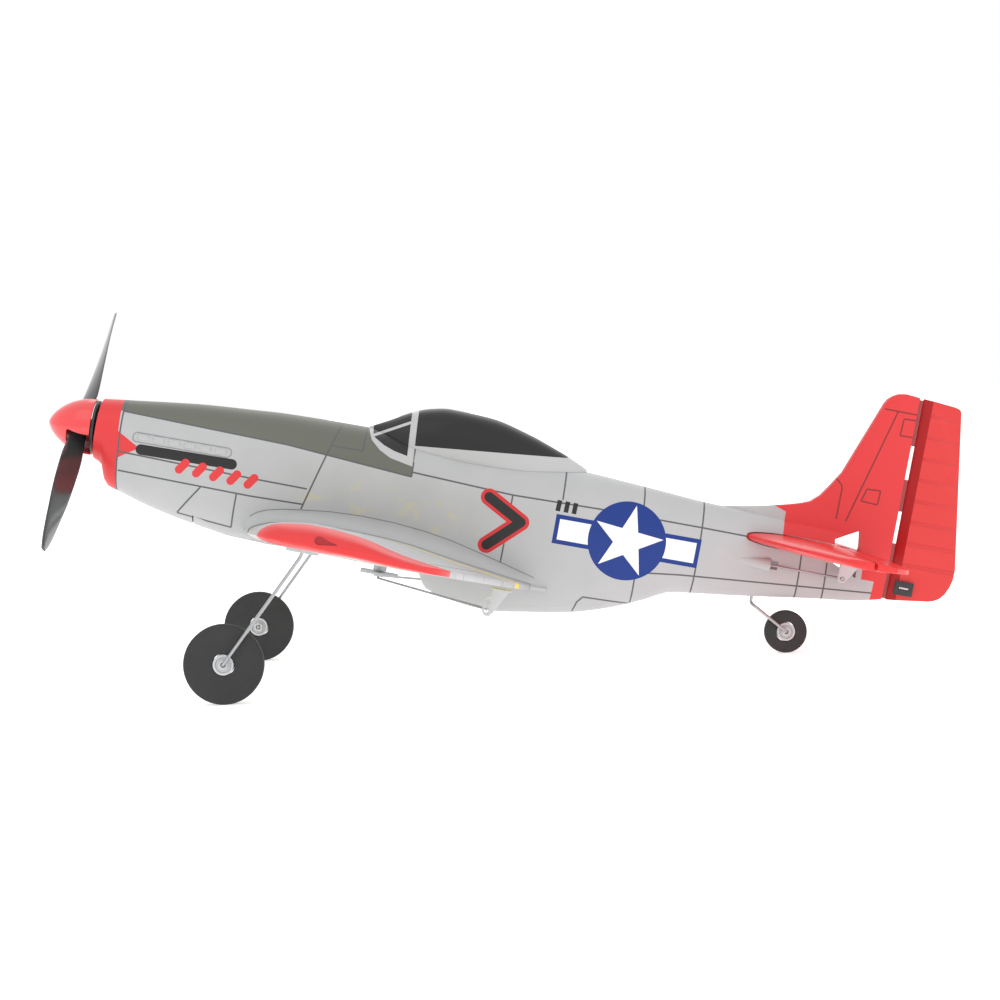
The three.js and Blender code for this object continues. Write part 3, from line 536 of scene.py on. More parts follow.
@dataclass(frozen=True)
class Level:
    """How the maker's level drawing sits in the row frame."""

    pitch: float
    offset: Vector

    @classmethod
    def from_wheels(cls, joints: list[dict]) -> "Level":
        """Reads the pitch and place from where the main and tail axles are.

        Args:
            joints: The record's joints.

        Returns:
            The level frame's place.
        """
        spots = {joint["name"]: joint.get("pos_m") for joint in joints}
        main, tail = Vector(spots["left_wheel_spin"]), Vector(spots["tail_wheel_spin"])
        flat_main, flat_tail = Vector(Gear.main_axle) * MM, Vector(Gear.tail_axle) * MM
        drawn = math.atan2(flat_tail.z - flat_main.z, flat_tail.x - flat_main.x)
        stood = math.atan2(tail.z - main.z, tail.x - main.x)
        pitch = drawn - stood
        turned = Matrix.Rotation(pitch, 3, "Y") @ flat_tail
        return cls(pitch, Vector((tail.x - turned.x, 0, tail.z - turned.z)))

    @property
    def matrix(self) -> Matrix:
        """Millimetres in the level frame to metres in the row frame."""
        return (
            Matrix.Translation(self.offset) @ Matrix.Rotation(self.pitch, 4, "Y")
            @ Matrix.Scale(MM, 4)
        )

    def seat(self, body: bpy.types.Object) -> bpy.types.Object:
        """Moves a finished body into the row frame, its place in its mesh.

        Args:
            body: The finished body, in level millimetres.

        Returns:
            The seated body.
        """
        Bench.take(body)
        body.matrix_world = self.matrix
        bpy.ops.object.transform_apply(location=True, rotation=True, scale=True)
        return body

    def at(self, point: Point) -> Vector:
        """A level point in the row frame."""
        return self.matrix @ Vector(point)


# ---------------------------------------------------------------------------
# Finishes.
# ---------------------------------------------------------------------------


def linear(colour: str) -> tuple[float, float, float, float]:
    """Turns an sRGB hex colour linear.

    Args:
        colour: The hex value, with its hash sign.

    Returns:
        Red, green, blue and alpha.
    """
    parts = [int(colour[i:i + 2], 16) / 255 for i in (1, 3, 5)]
    red, green, blue = (
        c / 12.92 if c <= 0.04045 else ((c + 0.055) / 1.055) ** 2.4 for c in parts
    )
    return (red, green, blue, 1.0)


def add_node(tree: bpy.types.NodeTree, kind: str, settings: dict | None = None,
             links: dict | None = None) -> bpy.types.Node:
    """Adds a node with its settings and links.

    Args:
        tree: The material's node tree.
        kind: The node's type name, without its prefix.
        settings: Property names, or input sockets as numbers or names, and their values.
        links: Input sockets and the output sockets that feed them.

    Returns:
        The node.
    """
    node = tree.nodes.new("ShaderNode" + kind)
    for key, value in (settings or {}).items():
        if isinstance(key, str) and hasattr(node, key):
            setattr(node, key, value)
        else:
            node.inputs[key].default_value = value
    for key, source in (links or {}).items():
        tree.links.new(source, node.inputs[key])
    return node


Socket = bpy.types.NodeSocket


class Painter:
    """Builds masks and coats in the level frame, in millimetres."""

    def __init__(self, tree: bpy.types.NodeTree, level: Level, colour: Socket) -> None:
        """Starts from a base coat.

        Args:
            tree: The material's node tree.
            level: The level frame.
            colour: The base coat's colour.
        """
        self.tree = tree
        self.colour = colour
        coords = add_node(tree, "TexCoord")
        mapping = add_node(
            tree, "Mapping",
            {"vector_type": "TEXTURE", 1: level.offset, 2: (0, level.pitch, 0), 3: (MM,) * 3},
            {0: coords.outputs["Object"]},
        )
        self.point = mapping.outputs[0]

    def math(self, operation: str, *terms: Socket | float) -> Socket:
        """One Math node over sockets or numbers.

        Args:
            operation: The node's operation.
            terms: Sockets or numbers, in order.

        Returns:
            The result.
        """
        node = add_node(self.tree, "Math", {"operation": operation})
        for k, term in enumerate(terms):
            if isinstance(term, (int, float)):
                node.inputs[k].default_value = term
            else:
                self.tree.links.new(term, node.inputs[k])
        return node.outputs[0]

    def along(self, x: float, y: float, z: float) -> Socket:
        """How far a point is along a direction.

        Args:
            x: The direction's x.
            y: Its y.
            z: Its z.

        Returns:
            The distance, in millimetres.
        """
        node = add_node(
            self.tree, "VectorMath", {"operation": "DOT_PRODUCT", 1: (x, y, z)}, {0: self.point}
        )
        return node.outputs["Value"]

    def both(self, *masks: Socket) -> Socket:
        """Where every mask is.

        Args:
            masks: The masks to combine.

        Returns:
            The combined mask.
        """
        out = masks[0]
        for mask in masks[1:]:
            out = self.math("MULTIPLY", out, mask)
        return out

    def either(self, *masks: Socket) -> Socket:
        """Where any mask is.

        Args:
            masks: The masks to combine.

        Returns:
            The combined mask.
        """
        out = masks[0]
        for mask in masks[1:]:
            out = self.math("MAXIMUM", out, mask)
        return out

    def beyond(self, x: float, z: float, limit: float) -> Socket:
        """The side-view half plane where x and z, weighed so, pass a limit."""
        return self.math("GREATER_THAN", self.along(x, 0, z), limit)

    def left_of(self, a: Flat, b: Flat) -> Socket:
        """The half plane above a side-view line drawn aft, or aft of one drawn downwards.

        Args:
            a: The line's start.
            b: The line's end.

        Returns:
            The mask.
        """
        normal = Vector((a[1] - b[1], b[0] - a[0])).normalized()
        return self.beyond(normal.x, normal.y, normal.x * a[0] + normal.y * a[1])

    def inside(self, *corners: Flat) -> Socket:
        """A convex side-view panel, its corners listed anticlockwise.

        Args:
            corners: The corners in the side view.

        Returns:
            The mask.
        """
        rest = corners[1:] + corners[:1]
        return self.both(*[self.left_of(a, b) for a, b in zip(corners, rest)])

    def line(self, a: Flat, b: Flat, width: float) -> Socket:
        """A straight side-view line of a real width.

        Args:
            a: The line's start.
            b: The line's end.
            width: How wide it is.

        Returns:
            The mask.
        """
        start, end = Vector(a), Vector(b)
        run = (end - start).normalized()
        middle = (start + end) / 2
        length = self.math(
            "COMPARE", self.along(run.x, 0, run.y), run.dot(middle), (end - start).length / 2
        )
        across = self.math(
            "COMPARE", self.along(-run.y, 0, run.x), -run.y * middle.x + run.x * middle.y,
            width / 2,
        )
        return self.math("MULTIPLY", length, across)

    def path(self, points: list[Flat], width: float) -> Socket:
        """A bent side-view line."""
        return self.either(*[self.line(a, b, width) for a, b in zip(points, points[1:])])

    def disc(self, centre: Flat, radius: float) -> Socket:
        """A side-view disc.

        Args:
            centre: The disc's centre.
            radius: The disc's radius.

        Returns:
            The mask.
        """
        x = self.math("SUBTRACT", self.along(1, 0, 0), centre[0])
        z = self.math("SUBTRACT", self.along(0, 0, 1), centre[1])
        reach = self.math("ADD", self.math("MULTIPLY", x, x), self.math("MULTIPLY", z, z))
        return self.math("LESS_THAN", reach, radius * radius)

    def slot(self, a: Flat, b: Flat, radius: float) -> Socket:
        """A side-view bar with round ends."""
        return self.either(self.line(a, b, 2 * radius), self.disc(a, radius), self.disc(b, radius))

    def coat(self, mask: Socket, colour: str | Socket, strength: float = 1.0) -> None:
        """Lays a colour over what is there, where the mask is.

        Args:
            mask: Where it goes.
            colour: A hex value or a socket.
            strength: How much of it covers.
        """
        if strength < 1:
            mask = self.math("MULTIPLY", mask, strength)
        mix = add_node(self.tree, "Mix", {"data_type": "RGBA"}, {0: mask, 6: self.colour})
        if isinstance(colour, str):
            mix.inputs[7].default_value = linear(colour)
        else:
            self.tree.links.new(colour, mix.inputs[7])
        self.colour = mix.outputs[2]


@dataclass(frozen=True)
class Finish:
    """A surface: what it is, how it was made and what that gives the eye."""

    name: str
    colour: str
    shade: str
    roughness: float
    slot: str
    metallic: float = 0.0
    coat: float = 0.0
    ior: float = 1.5
    grain: float = 0.6
    mottle: float = 14.0
    relief: float = 0.03

    def base(self, level: Level) -> tuple[bpy.types.Material, bpy.types.Node, Painter]:
        """Makes the material with its mottle and grain, ready for markings.

        Args:
            level: The level frame, which every pattern's scale is drawn in.

        Returns:
            The material, its shader and a painter that holds the base coat.
        """
        material = bpy.data.materials.new(self.name)
        material.use_nodes = True
        tree = material.node_tree
        shader = tree.nodes["Principled BSDF"]
        shader.inputs["Roughness"].default_value = self.roughness
        shader.inputs["Metallic"].default_value = self.metallic
        shader.inputs["Coat Weight"].default_value = self.coat
        shader.inputs["Coat Roughness"].default_value = 0.12
        shader.inputs["IOR"].default_value = self.ior
        ground = add_node(tree, "Mix", {
            "data_type": "RGBA", 6: linear(self.colour), 7: linear(self.shade),
        })
        painter = Painter(tree, level, ground.outputs[2])
        cloud = add_node(
            tree, "TexNoise", {"Scale": 1 / self.mottle, "Detail": 4.0, "Roughness": 0.6},
            {"Vector": painter.point},
        )
        tree.links.new(cloud.outputs[0], ground.inputs[0])
        beads = add_node(
            tree, "TexNoise", {"Scale": 1 / self.grain, "Detail": 2.0}, {"Vector": painter.point}
        )
        bump = add_node(
            tree, "Bump", {"Strength": 0.6, "Distance": self.relief * MM},
            {"Height": beads.outputs[0]},
        )
        tree.links.new(bump.outputs[0], shader.inputs["Normal"])
        return material, shader, painter

    def mark(self, painter: Painter) -> None:
        """Lays the markings; a plain finish has none."""

    def make(self, level: Level) -> bpy.types.Material:
        """The finished material.

        Args:
            level: The level frame.

        Returns:
            The material.
        """
        material, shader, painter = self.base(level)
        self.mark(painter)
        material.node_tree.links.new(painter.colour, shader.inputs["Base Color"])
        return material


SILVER, GREY_SHADE, RED, DARK = "#bcbcbd", "#b0b1b2", "#db393b", "#5c5d5f"
OLIVE, BLACK, WHITE, BLUE, YELLOW = "#676960", "#232324", "#f4f4f2", "#0c3282", "#f2e14a"


def windscreen(p: Painter) -> None:
    """Lays the windscreen's silver frame and dark side pane, which run on to the fuselage.

    Args:
        p: The painter to lay them with.
    """
    ahead = p.left_of((115.6, 13.0), (114.5, 28.0))
    rim = [(97.2, 19.5), (98.0, 17.4), (99.7, 14.1), (103.3, 11.1), (107.5, 9.0), (116.4, 7.3)]
    pane = [(99.2, 18.4), (99.9, 15.7), (101.0, 15.0), (104.4, 13.1), (108.4, 11.7), (113.6, 10.7)]
    outside = [p.left_of(a, b) for a, b in zip(rim, rim[1:])]
    p.coat(p.both(ahead, *outside), SILVER)
    glass = [p.left_of(a, b) for a, b in zip(pane, pane[1:])]
    p.coat(p.both(p.left_of((113.5, 10), (112.5, 23)), *glass), "#262627")
    p.coat(p.line((99.0, 15.4), (113.2, 23.3), 1.0), SILVER)


@dataclass(frozen=True)
class FuselageFoam(Finish):
    """Moulded foam sprayed silver, with printed panel lines and markings."""

    line_width: float = 0.6
    lines: tuple[tuple[Flat, ...], ...] = (
        ((8.6, 12.5), (10.6, -22)),
        ((9.7, -6.5), (59, -7.3), (80, -7.4)),
        ((10.7, -13.4), (60, -13.7), (79.4, -13.2)),
        ((88.2, 19), (79.1, -15)),
        ((41.8, -13.8), (34.1, -25.0), (54.8, -26.6), (55.1, -14)),
        ((86.3, 9.5), (97.3, 9.7), (97.2, 18)),
        ((116.3, 5.4), (153.8, 3.8), (185.7, 4.4), (225.3, 4.3), (254, 4)),
        ((153.8, 3.8), (153.7, -21.3)),
        ((172, 17.8), (172.1, 5.3)),
        ((201.7, 15.4), (203.9, -28.4)),
        ((224.4, 14), (225.3, -21)),
        ((263, 0.9), (263.9, -16)),
        ((273, -0.3), (273.9, -14)),
        ((200.2, -16.5), (219.9, -14.3), (291.8, -8.5)),
        ((183.3, -35), (184.2, -31), (186, -28.6), (203.5, -28.4)),
    )
    root: tuple[Flat, ...] = (
        (61.2, -21), (63.4, -19.2), (66.7, -17.7), (72.5, -16.3), (79.2, -15.3), (90, -14.0),
        (101.3, -13.5), (113, -13.8), (124.4, -14.8), (134.5, -16.4), (143.9, -18.6),
        (156, -21.6), (166.9, -24.6),
    )
    stack: tuple[Flat, ...] = (
        (14.4, -1.2), (15.4, -1.9), (49.6, -1.5), (50.7, -0.4), (50.7, 1), (49.6, 1.9),
        (15.4, 1.5), (14.4, 0.6), (14.4, -1.2),
    )
    fin_lines: tuple[tuple[Flat, ...], ...] = (
        ((283.9, 59.6), (296.2, 59.5)),
        ((288.9, 59.3), (277.4, 16.1)),
        ((270.9, 31.2), (273.4, 29), (273.8, 27.6), (273.7, 16.2)),
        ((296.4, 57.4), (291.6, 57.2), (291.3, 50.9), (296.4, 51)),
        ((283, 29.2), (288.1, 29.4), (287.8, 24.1), (281.6, 24.5), (283, 29.2)),
    )

    def mark(self, painter: Painter) -> None:
        """Lays the top panel, the red ends, the lines and the badges.

        Args:
            painter: The painter that holds the base coat.
        """
        p = painter
        streaks = add_node(
            p.tree, "TexNoise", {"Scale": 0.16, "Detail": 6.0, "Distortion": 1.2},
            {"Vector": p.point},
        )
        worn = p.math("GREATER_THAN", streaks.outputs[0], 0.6)
        p.coat(p.both(worn, p.inside((78, -13), (150, -16), (140, -4), (84, 1))), "#c9bf94", 0.4)
        upper = p.either(
            p.left_of((8.9, 8.1), (70, 7.0)), p.left_of((70, 7.0), (116.4, 3.7))
        )
        ahead = p.math("LESS_THAN", p.along(1, 0, 0), 116.2)
        p.coat(p.both(upper, ahead), OLIVE)
        edge = p.path([(8.9, 8.1), (70, 7.0), (116.4, 3.7), (116.2, 9)], self.line_width)
        p.coat(edge, DARK)
        cowl = p.math("LESS_THAN", p.along(1, 0, 0.103), 8.7)
        flash = p.inside((7, 1.6), (8.8, -9.6), (17.3, -4))
        tail = p.either(
            p.inside((254.9, 2), (400, 2), (400, 90), (254.9, 90)),
            p.inside((250, 17.2), (256, 15.2), (256, 30)),
            p.inside((286.8, -4.1), (400, -4.1), (400, 5), (286.2, 5)),
            p.beyond(1, 0, 291.8),
        )
        p.coat(p.either(cowl, flash, tail), RED)
        for route in self.lines:
            p.coat(p.path(list(route), self.line_width), DARK)
        p.coat(p.path(list(self.stack), 0.45), "#8b8c8e")
        p.coat(p.path(list(self.root), 0.4), "#858688")
        windscreen(p)
        for route in self.fin_lines:
            p.coat(p.path(list(route), self.line_width), "#8e2b30")
        p.coat(p.slot((18, -4.4), (51.6, -3.6), 1.9), BLACK)
        for k in range(5):
            x = 34 + 6.4 * k
            p.coat(p.slot((x - 1, -9.0 - 0.2 * k), (x + 1, -6.2 - 0.2 * k), 1.5), RED)
        self.roundel(p, (198, -5.4), 14.5)
        chevron = [(145.5, 1.6), (158.4, -5.4), (147.5, -15.6)]
        for width, colour in ((6.2, "#cf2f33"), (3.6, BLACK)):
            mask = p.either(
                p.slot(chevron[0], chevron[1], width / 2), p.slot(chevron[1], chevron[2], width / 2)
            )
            p.coat(mask, colour)
        for k in range(3):
            p.coat(p.line((170.9 + 3 * k, 1.0), (171.1 + 3 * k, 5.0), 1.7), BLACK)

    @staticmethod
    def roundel(p: Painter, centre: Flat, radius: float) -> None:
        """A white star on a blue disc between two bars, as a national marking is drawn.

        Args:
            p: The painter to lay it with.
            centre: The disc's centre in the side view.
            radius: The disc's radius.
        """
        x, z = centre
        reach, band, rim = 1.88 * radius, 0.37 * radius, 0.11 * radius
        p.coat(p.line((x - reach, z), (x + reach, z), 2 * band), BLUE)
        p.coat(p.line((x - reach + rim, z), (x + reach - rim, z), 2 * (band - rim)), WHITE)
        p.coat(p.disc(centre, radius), BLUE)
        tips = [
            Vector((x, z)) + Vector((math.sin(a), math.cos(a))) * radius * 0.93
            for a in (math.radians(72 * k + 6) for k in range(5))
        ]
        sides = []
        for k in range(5):
            a, b = tips[k], tips[(k + 2) % 5]
            normal = Vector((b.y - a.y, a.x - b.x)).normalized()
            if normal.dot(Vector(centre) - a) < 0:
                normal.negate()
            sides.append(p.beyond(normal.x, normal.y, normal.dot(a)))
        total = sides[0]
        for side in sides[1:]:
            total = p.math("ADD", total, side)
        p.coat(p.math("GREATER_THAN", total, 3.5), WHITE)


@dataclass(frozen=True)
class WingFoam(Finish):
    """Moulded foam sprayed silver, red at the tips and with one yellow stripe."""

    def mark(self, painter: Painter) -> None:
        """Lays the stripe, the spanwise lines and the red tips.

        Args:
            painter: The painter that holds the base coat.
        """
        p = painter
        out = p.math("ABSOLUTE", p.along(0, 1, 0))
        p.coat(p.math("COMPARE", out, 49.0, 5.0), YELLOW)
        for at in (84.0, 124.0, 164.0):
            p.coat(p.math("COMPARE", out, at, 0.3), DARK)
        spar = p.math("ADD", p.along(1, 0, 0), p.math("MULTIPLY", out, 0.02))
        p.coat(p.math("COMPARE", spar, 104.0, 0.3), DARK)
        p.coat(p.math("GREATER_THAN", out, 187.6), RED)
        lamp = p.either(p.slot((98.0, -10.9), (98.6, -10.9), 1.15),
                        p.inside((98.4, -12.05), (103.6, -11.3), (98.4, -9.75)))
        p.coat(p.both(lamp, p.math("GREATER_THAN", out, 197)), "#a3262b")


@dataclass(frozen=True)
class CanopyGloss(Finish):
    """Gloss black moulding with a silver windscreen frame and tail."""

    def mark(self, painter: Painter) -> None:
        """Lays the frame's strips and the silver tail.

        Args:
            painter: The painter that holds the base coat.
        """
        p = painter
        windscreen(p)
        frame = p.either(
            p.line((112.9, 34), (114.7, 9), 2.4),
            p.inside((114, 0), (190, 0), (190, 22.3), (114, 14.7)),
            p.inside((171.6, 0), (200, 0), (200, 40), (171.6, 40)),
        )
        p.coat(frame, SILVER)


@dataclass(frozen=True)
class RudderFoam(Finish):
    """Moulded foam sprayed red, with raised ribs, painted shade on the chamfer and a painted shadow
    line under each rib.
    """

    chamfer: float = 301.2
    ribs: tuple[float, float, float] = (4.0, 60.0, 8.0)

    def mark(self, painter: Painter) -> None:
        """Paints shade on the chamfer and a shadow line under each rib.

        Args:
            painter: The painter that holds the base coat.
        """
        p = painter
        for z in steps(*self.ribs):
            # Painted shadow: a darker line along the lower side of each raised rib.
            p.coat(p.line((self.chamfer + 0.4, z - 0.35), (330, z - 0.35), 0.8), "#c53a3d", 0.5)
        # Painted shade: the chamfer is coloured dark red for the shade it lies in.
        p.coat(p.math("LESS_THAN", p.along(1, 0, 0), self.chamfer), "#a80408")


class Palette(Enum):
    """Every finish on the airplane."""

    # Expanded polyolefin moulded in a tool, then sprayed: beads show faintly under satin paint.
    FUSELAGE = FuselageFoam("moulded_foam_sprayed_and_printed", SILVER, GREY_SHADE, 0.42,
                            "silver_foam", ior=1.4, coat=0.05)
    WING = WingFoam("moulded_foam_sprayed_wing", SILVER, GREY_SHADE, 0.4, "silver_foam",
                   ior=1.4, coat=0.05)
    SILVER_FOAM = Finish("moulded_foam_sprayed_silver", SILVER, GREY_SHADE, 0.42, "silver_foam")
    # The same foam in red paint, a little glossier, so its edges catch a thin highlight.
    RED_FOAM = Finish("moulded_foam_sprayed_red", "#e62b2b", "#de2527", 0.34, "red_foam", coat=0.1)
    RUDDER = RudderFoam("moulded_foam_rudder_sprayed_red", "#da3a37", "#d23736", 0.4, "red_foam",
                        ior=1.4, coat=0.05)
    # Foam pressed thin enough to flex, duller than the sprayed skin beside it and coloured darker
    # as painted shade in the hinge gaps.
    HINGE = Finish("pressed_foam_hinge", "#a8484a", "#9a4042", 0.45, "red_foam", grain=0.4)
    # Vacuum-formed styrene sprayed black: smooth, with a broad soft sheen over the bubble.
    CANOPY = CanopyGloss("vacuum_formed_styrene_canopy", "#1d1d1e", "#222223", 0.38,
                         "canopy_black", ior=1.4, coat=0.05, grain=4.0, relief=0.004)
    # Injection-moulded ABS under gloss lacquer: the clearest highlight on the airplane.
    SPINNER = Finish("lacquered_moulded_abs", "#ea4446", "#e03c40", 0.2, "spinner_red", coat=0.5,
                     grain=3.0, relief=0.004)
    # Glass-filled nylon from a polished mould: near black with long bright streaks.
    BLADE = Finish("polished_moulded_nylon", "#3d3f40", "#353738", 0.16, "blade_grey",
                   coat=0.4, grain=2.0, relief=0.005)
    # Natural nylon from a plain mould: pale, soft-edged and slightly waxy.
    GREY = Finish("plain_moulded_nylon", "#cdcecf", "#c0c2c4", 0.38, "grey_plastic",
                  grain=1.2, relief=0.01)
    # ABS from a fine-textured mould: even black that hardly shines.
    BLACK_PLASTIC = Finish("textured_moulded_abs", "#303336", "#272a2d", 0.35, "black_plastic",
                           grain=1.2, relief=0.01)
    # Foam rubber moulded with a skin: matt, with a visible pebbled grain.
    TYRE = Finish("skinned_foam_rubber", "#2e2e2f", "#3a3a3b", 0.8, "tyre_foam", grain=0.5,
                  relief=0.09)
    # Spring steel drawn to wire: a narrow bright line along its length.
    STEEL = Finish("drawn_spring_steel", "#b9bbbe", "#a4a7aa", 0.28, "steel_wire",
                   metallic=0.85, grain=0.5, relief=0.006)
    # Steel turned and plated: cooler and cleaner than the wire.
    MOTOR = Finish("turned_plated_steel", "#b4b7ba", "#9c9fa3", 0.3, "motor_steel",
                   metallic=0.9, grain=0.5, relief=0.006)
    # Brass turned and left bare: warm yellow metal at the bushes and pinion.
    BRASS = Finish("turned_brass", "#c2a266", "#ab8a50", 0.3, "brass", metallic=0.95,
                   grain=0.5, relief=0.006)
    # Carbon fibre drawn through a die in resin: near black, with a fine even grain.
    CARBON = Finish("pultruded_carbon", "#2a2b2e", "#1d1e20", 0.35, "carbon", grain=0.4)
    # Clear ABS tinted in the mould: saturated blue with a gloss skin.
    SERVO = Finish("tinted_moulded_abs", "#2b51a2", "#234489", 0.22, "servo_blue",
                   coat=0.4, grain=2.0, relief=0.006)
    # Glass laminate under screened solder mask: deep green, mottled by the copper below.
    BOARD = Finish("solder_masked_laminate", "#1f6b3f", "#175432", 0.3, "circuit_board",
                   coat=0.5, grain=0.9, mottle=5.0)
    # Vinyl film shrunk round the cells: glossy and faintly wrinkled.
    CELL = Finish("shrunk_vinyl_film", "#2b4a86", "#203b70", 0.25, "battery_wrap",
                  coat=0.4, grain=3.0, relief=0.05)

    @property
    def slot(self) -> str:
        """The record's slot."""
        return self.value.slot


@dataclass
class Shop:
    """Hands out materials and fits finished pieces on to the frame."""

    frame: dict
    level: Level

    def __post_init__(self) -> None:
        """Starts with no material made."""
        self.made: dict[str, bpy.types.Material] = {}

    def material(self, finish: Palette) -> bpy.types.Material:
        """The finish's material, made once."""
        if finish.name not in self.made:
            self.made[finish.name] = finish.value.make(self.level)
        return self.made[finish.name]

    def dress(self, body: bpy.types.Object, finish: Palette) -> None:
        """Gives a body one material."""
        body.data.materials.clear()
        body.data.materials.append(self.material(finish))

    def fit(self, body: bpy.types.Object, name: str, finish: Palette, rides: str,
            *nodes: str, angle: float = 38.0) -> bpy.types.Object:
        """Seats, dresses and names a level body that stands for CAD nodes.

        Args:
            body: The modelled body, in level millimetres.
            name: The piece's name.
            finish: Its finish.
            rides: The CAD body it moves with.
            nodes: The CAD nodes it stands for.
            angle: The sharpest edge that is shaded smooth, in degrees.

        Returns:
            The finished piece.
        """
        self.level.seat(body)
        return self.finish(body, name, finish, rides, *nodes, angle=angle)

    def finish(self, body: bpy.types.Object, name: str, finish: Palette, rides: str,
               *nodes: str, angle: float = 38.0) -> bpy.types.Object:
        """As fit, for a body that is already in the row frame.

        Args:
            body: The body, in the row frame.
            name: The piece's name.
            finish: Its finish.
            rides: The CAD body it moves with.
            nodes: The CAD nodes it stands for.
            angle: The sharpest edge that is shaded smooth, in degrees.

        Returns:
            The finished piece.
        """
        Bench.smooth(body, angle)
        body.name = body.data.name = name
        self.dress(body, finish)
        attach(body, rides)
        if nodes:
            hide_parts(*nodes)
        finish.slot
        LOG.info("%s: %d faces, rides %s", name, len(body.data.polygons), rides)
        return body

    def refine(self, node: str, finish: Palette, bevel: float = 0.12,
               angle: float = 38.0) -> bpy.types.Object:
        """Makes a CAD node's shape again with merged faces and softened edges.

        Args:
            node: The CAD node.
            finish: Its finish.
            bevel: The width of the rounded edges, in millimetres.
            angle: The sharpest edge that is shaded smooth, in degrees.

        Returns:
            The finished piece.
        """
        body = Bench.copy(self.frame["nodes"][node])
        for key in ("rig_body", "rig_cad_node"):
            if key in body:
                del body[key]
        body.parent = None
        bpy.ops.object.mode_set(mode="EDIT")
        bpy.ops.mesh.select_all(action="SELECT")
        bpy.ops.mesh.remove_doubles(threshold=2e-6)
        bpy.ops.mesh.dissolve_limited(angle_limit=math.radians(0.5))
        Bench.outwards()
        if bevel:
            Bench.soften(body, bevel * MM)
        rides = next(b for b, m in self.frame["record"]["behaviour"]["bodies"].items() if node in m)
        return self.finish(body, node + "_detail", finish, rides, node, angle=angle)


# ---------------------------------------------------------------------------
# Sub-assemblies.
# ---------------------------------------------------------------------------


